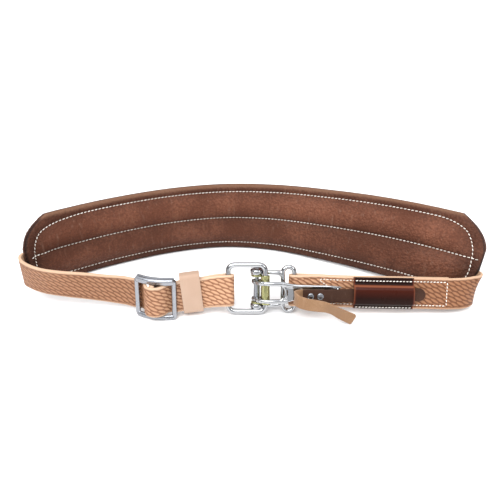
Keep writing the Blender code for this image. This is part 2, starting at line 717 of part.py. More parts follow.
def make_sleeve(skins):
    """The leather tunnel that holds the lever's strip down, with two sewn flanges."""
    wall = 2.0
    face = STRAP_THICK / 2 + STRAP_THICK + SEAM_GAP + GAP
    low = face
    # up the strap, out from it: the section's outer line, then its inner line back
    outer = ((-20.0, low), (-20.0, low + wall), (-15.9, low + wall), (-14.6, low + 5.6), (-12.4, low + 8.0),
             (-3.0, low + 8.9), (6.0, low + 8.4), (9.4, low + 6.0), (11.0, low + wall), (20.0, low + wall), (20.0, low))
    inner = ((9.3, low), (7.6, low + 4.8), (4.9, low + 6.5), (-3.0, low + 6.9), (-11.2, low + 6.1),
             (-12.8, low + 4.2), (-14.2, low))
    section = outer + inner
    rows = curve_through(RIGHT_RUN[3:], 9.0)
    bm = bmesh.new()
    rings = []
    for x in np.linspace(129.0, 204.0, 6):
        order = np.argsort(rows[:, 0])
        row = [float(np.interp(x, rows[order, 0], rows[order, k])) for k in range(5)]
        point, up = tipped(row)
        toward = Vector((0, -up.z, up.y)).normalized()
        rings.append([bm.verts.new(point + up * v + toward * out) for v, out in section])
    count = len(section)
    for first, second in zip(rings, rings[1:]):
        for k in range(count):
            m = (k + 1) % count
            bm.faces.new([first[k], first[m], second[m], second[k]])
    bm.faces.new(rings[0][::-1])
    bm.faces.new(rings[-1])
    place("lever_sleeve", bm, skins["sleeve"])


def main():
    clear_scene()
    skins = {
        "pad": material("oiled_brown_leather", (0.14, 0.055, 0.03), 0.6),
        "backing": material("dark_backing_leather", (0.07, 0.03, 0.018), 0.6),
        "strap": material("natural_stamped_leather", (0.62, 0.36, 0.21), 0.55),
        "keeper": material("plain_natural_leather", (0.78, 0.55, 0.4), 0.5),
        "strip": material("dark_ribbed_leather", (0.06, 0.022, 0.014), 0.5),
        "sleeve": material("glossy_burgundy_leather", (0.14, 0.025, 0.012), 0.3),
        "tab": material("tan_suede", (0.5, 0.3, 0.15), 0.9),
        "steel": material("satin_nickel", (0.7, 0.7, 0.72), 0.28, 1.0),
        "chrome": material("bright_chrome", (0.85, 0.85, 0.87), 0.1, 1.0),
        "zinc": material("yellow_zinc", (0.62, 0.6, 0.24), 0.3, 1.0),
    }
    face = PadFace(PAD_LINE)
    make_pad(face, skins)
    make_strap(face, skins)
    make_slide(skins)
    make_keeper(skins)
    make_latch(skins)
    make_strip(skins)
    make_sleeve(skins)
    carry_to_origin()


main()
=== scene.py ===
"""Padded work belt, fastened and standing on its lower edge.

Brown back pad, natural stamped strap round its outside, ring and lever latch in front.
Tables and sizes are in millimetres; MM turns them into metres.
"""

import math

import bpy
import numpy as np
from mathutils import Euler, Matrix, Vector


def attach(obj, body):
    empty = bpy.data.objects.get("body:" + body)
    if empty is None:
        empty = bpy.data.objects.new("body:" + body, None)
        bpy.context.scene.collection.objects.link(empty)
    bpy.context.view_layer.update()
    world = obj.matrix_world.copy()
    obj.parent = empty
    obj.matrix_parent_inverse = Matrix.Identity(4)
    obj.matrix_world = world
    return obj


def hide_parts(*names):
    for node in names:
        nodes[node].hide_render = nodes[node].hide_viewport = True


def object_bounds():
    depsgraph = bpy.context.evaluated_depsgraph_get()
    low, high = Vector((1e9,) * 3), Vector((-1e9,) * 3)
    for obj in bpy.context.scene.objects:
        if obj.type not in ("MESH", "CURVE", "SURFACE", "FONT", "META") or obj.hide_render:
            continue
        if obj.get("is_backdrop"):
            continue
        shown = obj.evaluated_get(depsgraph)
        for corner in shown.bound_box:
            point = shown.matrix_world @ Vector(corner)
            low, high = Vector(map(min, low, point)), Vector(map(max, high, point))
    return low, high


MM = 0.001

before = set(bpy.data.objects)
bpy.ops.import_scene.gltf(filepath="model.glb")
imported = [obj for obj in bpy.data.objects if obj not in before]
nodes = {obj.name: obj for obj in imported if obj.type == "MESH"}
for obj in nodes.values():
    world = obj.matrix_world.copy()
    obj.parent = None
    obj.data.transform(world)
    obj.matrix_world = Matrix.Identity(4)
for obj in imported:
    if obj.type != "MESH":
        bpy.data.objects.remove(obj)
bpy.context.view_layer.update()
bpy.ops.object.select_all(action="DESELECT")

# Studio
# A white floor that runs past the picture, a high soft sun and two soft lamps, in a room
# that is bright at the horizon and overhead and dark between, for the metal to mirror.

CAMERA_AT = (-0.1, -635.8, 415.0)
CAMERA_PITCH = 60.0
LENS = 38.88

camera = bpy.data.objects.new("camera", bpy.data.cameras.new("camera"))
bpy.context.scene.collection.objects.link(camera)
camera.data.sensor_width = 36.0
camera.data.lens = LENS
camera.data.clip_start = 0.01
camera.location = Vector(CAMERA_AT) * MM
camera.rotation_euler = (math.radians(CAMERA_PITCH), 0.0, 0.0)
bpy.context.scene.camera = camera
bpy.context.scene.view_settings.view_transform = "Standard"

bpy.ops.mesh.primitive_plane_add(size=30.0)
floor = bpy.context.object
floor.name = "floor"


def feed(tree, node, values):
    """Gives a node's sockets a value each, or the output that feeds them."""
    for label, value in dict(values).items():
        if isinstance(value, bpy.types.NodeSocket):
            tree.links.new(value, node.inputs[label])
        else:
            node.inputs[label].default_value = value


def put(tree, kind, values=(), **settings):
    """A new shader node with its settings and its sockets' values."""
    node = tree.nodes.new("ShaderNode" + kind)
    for label, value in settings.items():
        setattr(node, label, value)
    feed(tree, node, values)
    return node


def ramp(tree, fac, stops):
    """A colour ramp through (position, red, green, blue) stops."""
    node = put(tree, "ValToRGB", {"Fac": fac})
    band = node.color_ramp.elements
    for stop, (position, *colour) in ((band[0], stops[0]), (band[1], stops[-1])):
        stop.position = position
        stop.color = (*colour, 1.0)
    for position, *colour in stops[1:-1]:
        band.new(position).color = (*colour, 1.0)
    return node.outputs["Color"]


def new_skin(name):
    """A material, its node tree and its shader."""
    made = bpy.data.materials.new(name)
    made.use_nodes = True
    return made, made.node_tree, made.node_tree.nodes["Principled BSDF"]


pale, pale_tree, pale_shader = new_skin("pale_floor")
feed(pale_tree, pale_shader, {"Base Color": (0.93, 0.93, 0.93, 1.0), "Roughness": 0.9})
floor.data.materials.append(pale)
floor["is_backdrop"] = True

sky = bpy.data.objects.new("overhead", bpy.data.lights.new("overhead", "SUN"))
sky.data.energy = 2.3
sky.data.angle = math.radians(50.0)
sky.rotation_euler = (math.radians(30.0), math.radians(-12.0), 0.0)
bpy.context.scene.collection.objects.link(sky)
LAMPS = (
    # name, place, size, watts, looks at
    ("front_left", (-0.9, -1.0, 1.3), 0.5, 7.0, (-0.05, -0.05, 0.05)),
    ("front_right", (1.0, -0.7, 1.0), 0.4, 5.0, (0.05, -0.05, 0.05)),
)
for name, place, size, watts, target in LAMPS:
    lamp = bpy.data.lights.new(name, "AREA")
    lamp.size = size
    lamp.energy = watts
    held = bpy.data.objects.new(name, lamp)
    held.location = place
    held.rotation_euler = (Vector(target) - held.location).to_track_quat("-Z", "Y").to_euler()
    bpy.context.scene.collection.objects.link(held)

room = bpy.data.worlds.new("room")
room.use_nodes = True
bpy.context.scene.world = room
ROOM_LOW = (0.03, 0.62, 0.63, 0.65)
ROOM_BANDS = (
    # sine of the height over the horizon, brightness
    (0.1, 0.95), (0.2, 1.0), (0.3, 0.5), (0.41, 0.1), (0.54, 0.4), (0.64, 1.5),
)
ROOM_TOP = (0.9, 1.66, 1.68, 1.72)
direction = put(room.node_tree, "TexCoord").outputs["Generated"]
height = put(room.node_tree, "SeparateXYZ", {0: direction}).outputs["Z"]
bands = [(at, bright, bright * 1.01, bright * 1.04) for at, bright in ROOM_BANDS]
room_colour = ramp(room.node_tree, height, [ROOM_LOW, *bands, ROOM_TOP])
feed(room.node_tree, room.node_tree.nodes["Background"], {"Color": room_colour, "Strength": 0.9})

# Back pad, cushion side
# Soft oiled brown leather, sewn through foam onto the backing in two long channels: one
# seam runs all round, set in from the edge, and one along the middle. Margins are plain.

ROW_ORIGIN = np.array((0.1, -12.2, 0.0))
PAD_LINE = (
    # x,     y,    z,    lean, half
    (-290.8, -46.5, 51.6, 2.0, 0.97),
    (-287.2, -36.0, 51.6, 2.0, 0.97),
    (-273.5, -18.0, 51.6, 2.0, 0.97),
    (-238.0, 8.0, 51.6, 2.5, 0.97),
    (-179.0, 41.5, 51.6, 2.7, 0.97),
    (-111.0, 69.5, 51.6, 2.5, 0.97),
    (-38.0, 84.0, 51.6, 3.0, 0.97),
    (38.0, 76.5, 52.0, 6.5, 0.98),
    (110.0, 50.5, 53.4, 12.5, 1.0),
    (170.0, 22.5, 54.8, 18.0, 1.02),
    (222.0, -7.0, 56.0, 22.0, 1.03),
    (275.0, -43.5, 57.0, 25.0, 1.04),
    (296.3, -59.1, 57.5, 25.0, 1.04),
)
PAD_HALF = 52.5
BOW_LEFT = 42.0
BOW_RIGHT = 41.0
BOW_CURVE = 2.6
PAD_SEAM = 0.4
BACKING_THICK = 2.5
SEAM_UP = 42.0
SEAM_IN = 12.6
SEAM_CORNERS = (
    # height and length of the corner above and below, bow of the pad's end
    ((13.5, 60.0), (10.0, 30.0), BOW_LEFT),
    ((12.5, 30.0), (8.0, 12.0), BOW_RIGHT),
)
SEAM_LEAN = 5.0
SEAM_LEAN_OVER = 30.0
MIDDLE_UP = 1.0
MIDDLE_FROM = 5.0
MIDDLE_SHORT = 4.0
SEAM_DEEP = 4.0
MIDDLE_DEEP = 7.4
CROWN = 6.8
CROWN_WIDE = 21.0
CROWN_END = 30.0
ROLL = 3.2
STITCH_PITCH = 5.0


def lengths(points):
    """How far along a line each of its points lies."""
    return np.concatenate([[0.0], np.cumsum(np.linalg.norm(np.diff(points, axis=0), axis=1))])


def curve_through(rows, step):
    """A smooth line through table rows, read about every step millimetres."""
    rows = np.array(rows, dtype=float)
    at = lengths(rows[:, :3])
    slope = np.gradient(rows, at, axis=0)
    read = []
    for i, length in enumerate(np.diff(at)):
        count = max(1, int(round(length / step)))
        t = (np.arange(count) / count)[:, None]
        part = (2 * t**3 - 3 * t**2 + 1) * rows[i] + (3 * t**2 - 2 * t**3) * rows[i + 1]
        part += (t**3 - 2 * t**2 + t) * length * slope[i] + (t**3 - t**2) * length * slope[i + 1]
        read.append(part)
    read.append(rows[-1:])
    return np.concatenate(read)


pad_rows = curve_through(PAD_LINE, 1.5)
pad_at = lengths(pad_rows[:, :2])
pad_slope = np.gradient(pad_rows[:, :2], pad_at, axis=0)
PAD_LENGTH = pad_at[-1]


def on_pad(s, v, depth):
    """Millimetres along the pad, up it and out from it, to a place in the row."""
    x, y, z, lean, half = (np.interp(s, pad_at, column) for column in pad_rows.T)
    along_x = np.interp(s, pad_at, pad_slope[:, 0])
    along_y = np.interp(s, pad_at, pad_slope[:, 1])
    size = np.hypot(along_x, along_y)
    out_x, out_y = -along_y / size, along_x / size
    lean = np.radians(lean)
    rise = v * half
    px = x + out_x * (np.sin(lean) * rise + np.cos(lean) * depth)
    py = y + out_y * (np.sin(lean) * rise + np.cos(lean) * depth)
    pz = z + np.cos(lean) * rise - np.sin(lean) * depth
    return np.stack([px, py, pz], axis=-1) - ROW_ORIGIN


def bowed_ends(v):
    """How far the pad's left and right ends draw in at a height."""
    fall = np.abs(v / PAD_HALF) ** BOW_CURVE
    return BOW_LEFT * fall, BOW_RIGHT * fall


def pad_span(v, f):
    """Distance along the pad at fraction f between its bowed ends, and from the nearer end."""
    left, right = bowed_ends(v)
    span = PAD_LENGTH - left - right
    return left + f * span, np.minimum(f, 1 - f) * span


def rounded(x):
    """A quarter sine: 0 up to 0, and 1 from 1 on."""
    return np.sin(np.pi / 2 * np.clip(x, 0.0, 1.0))


def paced(line, pitch):
    """The same line with a point about every pitch millimetres."""
    line = np.array(line, dtype=float)
    at = lengths(line)
    count = max(2, int(round(at[-1] / pitch)))
    return np.stack([np.interp(np.linspace(0, at[-1], count + 1), at, c) for c in line.T], axis=-1)


def seam_end(corner, low, bow):
    """The seam across one end of the pad, from top to bottom: distance from the end, and height."""
    turns = np.radians(np.linspace(0, 90, 9))
    top, foot = ([(SEAM_UP - up * (1 - math.cos(t)), SEAM_IN + along * (1 - math.sin(t))) for t in turns]
                 for up, along in (corner, low))
    rows = top + [(v, SEAM_IN) for v in np.linspace(top[-1][0], -foot[-1][0], 9)[1:-1]]
    rows += [(-v, edge) for v, edge in reversed(foot)]
    line = []
    for v, edge in rows:
        lean = SEAM_LEAN * min(max(-v / SEAM_LEAN_OVER, 0.0), 1.0)
        line.append((bow * abs(v / PAD_HALF) ** (2 if v > 0 else 3) + edge - lean, v))
    return line


left_end = list(reversed(seam_end(*SEAM_CORNERS[0])))
right_end = [(PAD_LENGTH - s, v) for s, v in seam_end(*SEAM_CORNERS[1])]
ROUND_SEAM = paced(right_end + left_end + right_end[:1], STITCH_PITCH)
MIDDLE_SEAM = paced([(MIDDLE_FROM, MIDDLE_UP), (PAD_LENGTH - MIDDLE_SHORT, MIDDLE_UP)], STITCH_PITCH)


def from_line(s, v, line):
    """Distance to a sewn line, and how near a needle hole the nearest place on it is."""
    here = np.stack([s, v], axis=-1)
    nearest = np.full(s.shape, 1e9)
    hole = np.zeros(s.shape)
    for a, b in zip(line[:-1], line[1:]):
        run = b - a
        t = np.clip(((here - a) @ run) / run.dot(run), 0, 1)
        away = np.hypot(*(here - a - t[..., None] * run).T).T
        closer = away < nearest
        nearest = np.where(closer, away, nearest)
        hole = np.where(closer, np.abs(np.cos(np.pi * t)), hole)
    return nearest, hole


def inside_line(s, v, line):
    """True inside a closed line."""
    odd = np.zeros(s.shape, dtype=bool)
    for (s0, v0), (s1, v1) in zip(line[:-1], line[1:]):
        if v0 != v1:
            crossing = s0 + (v - v0) / (v1 - v0) * (s1 - s0)
            odd ^= ((v0 > v) != (v1 > v)) & (s < crossing)
    return odd


END_FULL = 0.35
MARGIN_SWELL = 0.7
MARGIN_WIDE = 10.5
PULL_WIDE = 1.6
PULL_LINE, PULL_HOLE = 0.2, 0.45
CREASE_AT, CREASE_WIDE, CREASE_DEEP = 5.0, 3.5, 0.35
CREASE_EVEN = 0.6


def creases(away, hole):
    """Furrows that run off a seam beside its needle holes."""
    return np.exp(-(((away - CREASE_AT) / CREASE_WIDE) ** 2)) * (hole - CREASE_EVEN)


def pulled(away, hole):
    """How far thread draws the leather in at a distance from it."""
    return np.exp(-((away / PULL_WIDE) ** 2)) * (PULL_LINE + PULL_HOLE * hole)


def cushion_rise(s, v, edge):
    """Height of the leather over the backing, and how full the padding is there."""
    away, hole = from_line(s, v, ROUND_SEAM)
    inside = np.where(inside_line(s, v, ROUND_SEAM), away, -away)
    middle_pitch = np.linalg.norm(MIDDLE_SEAM[1] - MIDDLE_SEAM[0])
    middle_hole = np.abs(np.cos(np.pi * (s - MIDDLE_FROM) / middle_pitch))
    from_middle = np.abs(v - MIDDLE_UP)
    swell = rounded(from_middle / CROWN_WIDE) ** 0.75 * rounded(inside / CROWN_WIDE) ** 0.7
    swell = swell * (END_FULL + (1 - END_FULL) * rounded((edge - SEAM_IN) / CROWN_END))
    middle = np.clip(1 - from_middle / SEAM_UP, 0, 1) * np.clip(inside / 12, 0, 1)
    rise = SEAM_DEEP + (MIDDLE_DEEP - SEAM_DEEP) * middle + CROWN * swell
    soft = 0.3 * np.sin(s * 0.043 + 1.3 * np.sin(v * 0.06)) + 0.2 * np.sin(s * 0.117 + v * 0.09)
    rise = rise + soft * swell
    margin = SEAM_DEEP + MARGIN_SWELL * np.sin(np.pi * np.clip(-inside / MARGIN_WIDE, 0, 1))
    rise = np.where(inside < 0, margin, rise)
    pull = np.maximum(pulled(inside, hole), pulled(from_middle, middle_hole) * (inside > -7))
    crease = creases(inside, hole) + creases(from_middle, middle_hole) * (inside > 0)
    rise = rise - pull - CREASE_DEEP * crease
    rim = np.clip(np.minimum(edge, PAD_HALF - np.abs(v)) / ROLL, 0, 1)
    return rise * np.sqrt(1 - (1 - rim) ** 2), swell


def laid_out(name, columns, rows, form, size):
    """A rectangle of leather cut as a grid, then laid through form(u, v)."""
    bpy.ops.object.select_all(action="DESELECT")
    bpy.ops.mesh.primitive_grid_add(x_subdivisions=columns, y_subdivisions=rows, size=2.0)
    piece = bpy.context.object
    piece.name = name
    mesh = piece.data
    flat = np.empty(len(mesh.vertices) * 3)
    mesh.vertices.foreach_get("co", flat)
    flat = (flat.reshape(-1, 3)[:, :2] + 1) / 2
    placed = form(flat[:, 0], flat[:, 1])
    mesh.vertices.foreach_set("co", (placed * MM).ravel())
    corner = np.empty(len(mesh.loops), dtype=int)
    mesh.loops.foreach_get("vertex_index", corner)
    mesh.uv_layers[0].data.foreach_set("uv", (flat[corner] * np.array(size) * MM).ravel())
    bpy.ops.object.mode_set(mode="EDIT")
    bpy.ops.mesh.select_all(action="SELECT")
    bpy.ops.mesh.remove_doubles(threshold=0.00002)
    bpy.ops.mesh.fill_holes(sides=0)
    bpy.ops.mesh.normals_make_consistent(inside=False)
    bpy.ops.object.mode_set(mode="OBJECT")
    bpy.ops.object.shade_smooth()
    return piece


PAD_ACROSS = np.concatenate([
    np.array([-52.5, -52.45, -52.2, -51.6, -50.6, -49.4, -48.0, -46.0, -44.5]),
    np.linspace(-43.5, -36.0, 9),
    np.linspace(-34.0, -8.0, 11),
    np.linspace(-6.0, 8.0, 17),
    np.linspace(10.0, 34.0, 11),
    np.linspace(36.0, 43.5, 9),
    np.array([44.5, 46.0, 48.0, 49.4, 50.6, 51.6, 52.2, 52.45, 52.5]),
])
PAD_BACK = np.array([52.5, 49.0, 35.0, 17.0, 0.0, -17.0, -35.0, -49.0, -52.5])
PAD_ALONG = np.concatenate([
    np.array([0.0, 0.05, 0.3, 0.9, 1.9, 3.1, 4.5]),
    np.arange(6.0, PAD_LENGTH / 2, 1.6),
])
PAD_ALONG = np.concatenate([PAD_ALONG, PAD_LENGTH - PAD_ALONG[::-1]]) / PAD_LENGTH
PAD_AROUND = np.concatenate([PAD_ACROSS, PAD_BACK[1:]])
REACH_FROM = -34.0
REACH_OVER = 56.0


def pillow(rise_at, back_at, reach=0.0):
    """A closed form: up the front face, over the top edge and down the back.

    reach draws the two ends that much further out in their upper part.
    """
    front_count = len(PAD_ACROSS) - 1

    def form(u, v):
        place = v * (len(PAD_AROUND) - 1)
        height = np.interp(place, np.arange(len(PAD_AROUND)), PAD_AROUND)
        f = np.interp(u * (len(PAD_ALONG) - 1), np.arange(len(PAD_ALONG)), PAD_ALONG)
        s, edge = pad_span(height, f)
        upper = 0.5 - 0.5 * np.cos(np.pi * np.clip((height - REACH_FROM) / REACH_OVER, 0, 1))
        s = s + reach * (2 * f - 1) ** 3 * upper
        depth = np.where(place <= front_count + 1e-6, rise_at(s, height, edge), back_at(height, edge))
        return on_pad(s, height, depth)

    return form, len(PAD_AROUND) - 1


def cushion_front(s, v, edge):
    return -PAD_SEAM - cushion_rise(s, v, edge)[0]


def cushion_back(v, edge):
    return np.full_like(v, -PAD_SEAM)


def corner_data(mesh):
    """Each face corner's vertex, and its place on the UV map."""
    vertices = np.empty(len(mesh.loops), dtype=int)
    mesh.loops.foreach_get("vertex_index", vertices)
    flat = np.empty(len(mesh.loops) * 2)
    mesh.uv_layers[0].data.foreach_get("uv", flat)
    return vertices, flat.reshape(-1, 2)


def mark(piece, name, vertices, values):
    """A number on each vertex, for a material to read by name."""
    marks = np.zeros(len(piece.data.vertices))
    marks[vertices] = values
    piece.data.attributes.new(name, "FLOAT", "POINT").data.foreach_set("value", marks)


# painted shade on the lower channel: from just above the middle seam down, the pad is painted darker
LOWER_CHANNEL_SHADE = 0.42
# painted shade along the pad's cut edge below its top margin: a dark line where the rolled rim is in shadow
RIM_SHADE = 1.1
RIM_SHADE_WIDE = 1.8
TOP_EDGE_FROM = 48.0
FADED_FROM = SEAM_UP + 5.0
FADED_OVER = 3.0

cushion_form, cushion_rows = pillow(cushion_front, cushion_back)
cushion = laid_out("back_cushion", len(PAD_ALONG) - 1, cushion_rows, cushion_form, (1.0 / MM, 1.0 / MM))
cushion_corners, cushion_uv = corner_data(cushion.data)
up_pad = np.interp(cushion_uv[:, 1] * (len(PAD_AROUND) - 1), np.arange(len(PAD_AROUND)), PAD_AROUND)
along_pad = np.interp(cushion_uv[:, 0] * (len(PAD_ALONG) - 1), np.arange(len(PAD_ALONG)), PAD_ALONG)
pad_s, pad_edge = pad_span(up_pad, along_pad)
# painted light and shade: the pad's colour follows the swell of its padding, painted darker in the seams and
# grooves and lighter on the crowns
crown_shading = cushion_rise(pad_s, up_pad, pad_edge)[1] - LOWER_CHANNEL_SHADE * np.clip(0.5 - up_pad / 16, 0, 1)
cut_edge = np.minimum(pad_edge, PAD_HALF - np.abs(up_pad))
rim_shaded = crown_shading - RIM_SHADE * np.clip(1 - cut_edge / RIM_SHADE_WIDE, 0, 1)
mark(cushion, "crown_light_and_shade", cushion_corners, np.where(up_pad < TOP_EDGE_FROM, rim_shaded, crown_shading))
mark(cushion, "top_margin", cushion_corners, np.clip((up_pad - FADED_FROM) / FADED_OVER, 0, 1))
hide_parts("pad_cushion")
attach(cushion, "root")


def reckon(tree, operation, *values):
    """The result of a Math node."""
    return put(tree, "Math", enumerate(values), operation=operation).outputs[0]


def tinted(tree, factor, under, over, blend="MIX"):
    """One colour laid over another."""
    mixed = put(tree, "Mix", data_type="RGBA", blend_type=blend)
    feed(tree, mixed, {"Factor": factor, 6: under, 7: over})
    return mixed.outputs[2]


def named_group(name, taken, given):
    """A shader node group with its (label, kind) sockets, and its two ends."""
    group = bpy.data.node_groups.new(name, "ShaderNodeTree")
    for in_out, sockets in (("INPUT", taken), ("OUTPUT", given)):
        for label, kind in sockets:
            group.interface.new_socket(label, in_out=in_out, socket_type="NodeSocket" + kind)
    return group, group.nodes.new("NodeGroupInput").outputs, group.nodes.new("NodeGroupOutput")


SCUFF_LONG = (230.0, 230.0, 26.0)
SCUFF_TURN = (0.1, 0.15, 0.3)
SCUFFED = (0.35, 0.24, 0.18, 1.0)


def hide_group():
    """Leather: pebbled grain, broad clouding and fine scuffs, as colour and height."""
    group, given, gives = named_group(
        "hide", (("Base", "Color"), ("Shade", "Color"), ("Pebble size", "Float"), ("Pebble depth", "Float"),
                 ("Clouding", "Float"), ("Scuffs", "Float")),
        (("Color", "Color"), ("Height", "Float"), ("Dull", "Float")))
    place = put(group, "TexCoord").outputs["Object"]
    pebble = put(group, "TexVoronoi", {"Vector": place, "Scale": given["Pebble size"]}, feature="SMOOTH_F1")
    fine = put(group, "TexNoise", {"Vector": place, "Scale": 900.0, "Detail": 3.0})
    mottle = put(group, "TexNoise", {"Vector": place, "Scale": 700.0, "Detail": 4.0})
    cloud = put(group, "TexNoise", {"Vector": place, "Scale": 22.0, "Detail": 5.0})
    stretch = put(group, "Mapping", {"Vector": place, "Scale": SCUFF_LONG, "Rotation": SCUFF_TURN})
    scuff = put(group, "TexNoise", {"Vector": stretch.outputs[0], "Scale": 1.0, "Detail": 4.0})
    sharp = put(group, "MapRange", {"Value": scuff.outputs["Fac"], "From Min": 0.6, "From Max": 0.78})
    tone = put(group, "MapRange", {"Value": cloud.outputs["Fac"], "From Min": 0.35, "From Max": 0.68})
    speckle = put(group, "MapRange", {"Value": mottle.outputs["Fac"], "From Min": 0.3, "From Max": 0.7,
                                      "To Max": 0.5})
    pits = reckon(group, "MULTIPLY", pebble.outputs["Distance"], given["Pebble depth"])
    clouded = reckon(group, "MULTIPLY", tone.outputs[0], given["Clouding"])
    grained = reckon(group, "MULTIPLY_ADD", speckle.outputs[0], given["Pebble depth"], pits)
    darker = put(group, "Math", {0: clouded, 1: grained}, use_clamp=True).outputs[0]
    mixed = tinted(group, darker, given["Base"], given["Shade"])
    marks = reckon(group, "MULTIPLY", sharp.outputs[0], given["Scuffs"])
    lowered = reckon(group, "MULTIPLY", pits, -1.0)
    feed(group, gives, {"Color": tinted(group, marks, mixed, SCUFFED, "SCREEN"),
                        "Height": reckon(group, "MULTIPLY_ADD", fine.outputs["Fac"], 0.35, lowered),
                        "Dull": tone.outputs[0]})
    return group


HIDE = hide_group()
GRAIN_DEEP = 0.0006


def leather(name, base, shade, pebbles, depth, clouding, scuffs, shine, dull, relief):
    """A leather finish; shine and dull are the roughness where it is worn smooth and where it isn't."""
    made, tree, shader = new_skin(name)
    grain = put(tree, "Group", node_tree=HIDE)
    feed(tree, grain, {"Base": (*base, 1.0), "Shade": (*shade, 1.0), "Pebble size": pebbles,
                       "Pebble depth": depth, "Clouding": clouding, "Scuffs": scuffs})
    rough = put(tree, "MapRange", {"Value": grain.outputs["Dull"], "To Min": shine, "To Max": dull})
    bump = put(tree, "Bump", {"Strength": relief, "Distance": GRAIN_DEEP, "Height": grain.outputs["Height"]})
    feed(tree, shader, {"Base Color": grain.outputs["Color"], "Roughness": rough.outputs[0],
                        "Normal": bump.outputs[0], "Specular IOR Level": 0.3})
    return made, tree, shader, grain, bump


def named_value(tree, name):
    """What mark left on the piece under a name."""
    return put(tree, "Attribute", attribute_name=name).outputs["Fac"]


PAD_GRAIN_DEEP = 0.0017
FADED_MARGIN = (0.155, 0.075, 0.044, 1.0)
pad_skin, pad_tree, pad_shader, pad_hide, pad_bump = leather(
    "oiled_brown_hide", (0.222, 0.081, 0.043), (0.100, 0.033, 0.017), 360.0, 0.85, 0.6, 0.17, 0.62, 0.8, 1.0)
feed(pad_tree, pad_bump, {"Distance": PAD_GRAIN_DEEP})
# painted shade: the pad is painted darker where the mark is low, in its seams and grooves, in the lower
# channel and along its cut rim
worn = put(pad_tree, "MapRange", {"Value": named_value(pad_tree, "crown_light_and_shade"), "From Max": 0.85,
                                  "To Min": 0.62, "To Max": 1.0}, clamp=False)
shaded_pad_colour = tinted(pad_tree, 1.0, pad_hide.outputs["Color"], worn.outputs[0], "MULTIPLY")
pad_colour = tinted(pad_tree, named_value(pad_tree, "top_margin"), shaded_pad_colour, FADED_MARGIN)
feed(pad_tree, pad_shader, {"Base Color": pad_colour, "Specular IOR Level": 0.22})
cushion.data.materials.append(pad_skin)

# Back pad, outer side
# A flat layer of dark leather cut to the same outline; it shows as a second edge at the
# ends of the pad and is the whole back of it, with the same two seams coming through.


BACKING_ROUND = 1.2
BACKING_REACH = 1.8


def backing_half(v, edge):
    """Half the backing's thickness, which runs out round at its cut edge."""
    rim = np.clip(np.minimum(edge, PAD_HALF - np.abs(v)) / BACKING_ROUND, 0, 1)
    return 0.5 * np.sqrt(1 - (1 - rim) ** 2)


def backing_front(s, v, edge):
    return PAD_SEAM + BACKING_THICK * (0.5 - backing_half(v, edge))


def backing_back(v, edge):
    return PAD_SEAM + BACKING_THICK * (0.5 + backing_half(v, edge))


backing_form, backing_rows = pillow(backing_front, backing_back, BACKING_REACH)
backing = laid_out("pad_back_layer", 240, backing_rows, backing_form, (PAD_LENGTH, 230.0))
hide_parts("pad_backing")
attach(backing, "root")
backing_skin, *_ = leather(
    "dark_backing_hide", (0.105, 0.044, 0.028), (0.05, 0.02, 0.014), 520.0, 0.6, 0.6, 0.1, 0.55, 0.75, 0.5)
backing.data.materials.append(backing_skin)

# Thread
# Waxed white linen thread, sewn by hand in slanted stitches a little apart; each stitch
# sinks at its ends and stands up in the middle. The margin of the pad has one seam all
# round, and one along the middle that is tacked down past it at both ends.

THREAD = 1.25
THREAD_PROUD = 0.65


def one_stitch():
    """A thread that rises from one hole and dips into the next, a unit long."""
    bpy.ops.object.select_all(action="DESELECT")
    bpy.ops.mesh.primitive_uv_sphere_add(segments=8, ring_count=7, radius=0.5)
    model = bpy.context.object
    points = np.array([v.co[:] for v in model.data.vertices])
    points = points[:, [2, 0, 1]]
    points[:, 0] = np.sign(points[:, 0]) * np.abs(points[:, 0] * 2) ** 0.75 / 2
    points[:, 2] -= 0.45 * (points[:, 0] * 2) ** 2
    faces = [list(p.vertices) for p in model.data.polygons]
    bpy.data.objects.remove(model)
    return points, faces


STITCH_POINTS, STITCH_FACES = one_stitch()


def sew(name, points, normals, slant=0.16, fill=0.74, thick=THREAD):
    """Stitches from each point to the next, laid on a surface."""
    points, normals = np.array(points), np.array(normals)
    all_points, all_faces = [], []
    for a, b, n in zip(points[:-1], points[1:], normals[:-1]):
        along = b - a
        length = np.linalg.norm(along)
        along = along / length
        n = n - along * n.dot(along)
        n = n / np.linalg.norm(n)
        side = np.cross(n, along)
        along = along * math.cos(slant) + side * math.sin(slant)
        side = np.cross(n, along)
        first = len(all_points) * len(STITCH_POINTS)
        local = STITCH_POINTS * np.array([length * fill, thick, thick])
        all_points.append((a + b) / 2 + local @ np.array([along, side, n]) + n * thick * 0.3)
        all_faces += [[first + k for k in face] for face in STITCH_FACES]
    mesh = bpy.data.meshes.new(name)
    mesh.from_pydata((np.concatenate(all_points) * MM).tolist(), [], all_faces)
    mesh.validate()
    sewn = bpy.data.objects.new(name, mesh)
    bpy.context.scene.collection.objects.link(sewn)
    bpy.ops.object.select_all(action="DESELECT")
    sewn.select_set(True)
    bpy.context.view_layer.objects.active = sewn
    bpy.ops.object.mode_set(mode="EDIT")
    bpy.ops.mesh.select_all(action="SELECT")
    bpy.ops.mesh.normals_make_consistent(inside=False)
    bpy.ops.object.mode_set(mode="OBJECT")
    bpy.ops.object.shade_smooth()
    mesh.materials.append(thread_skin)
    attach(sewn, "root")
    return sewn


thread_skin, thread_tree, thread_shader = new_skin("waxed_linen_thread")
thread_place = put(thread_tree, "TexCoord").outputs["Object"]
twist = put(thread_tree, "TexNoise", {"Vector": thread_place, "Scale": 260.0})
soiled = ramp(thread_tree, twist.outputs["Fac"], ((0.3, 0.52, 0.45, 0.38), (0.6, 0.82, 0.78, 0.72)))
feed(thread_tree, thread_shader, {"Base Color": soiled, "Roughness": 0.75})


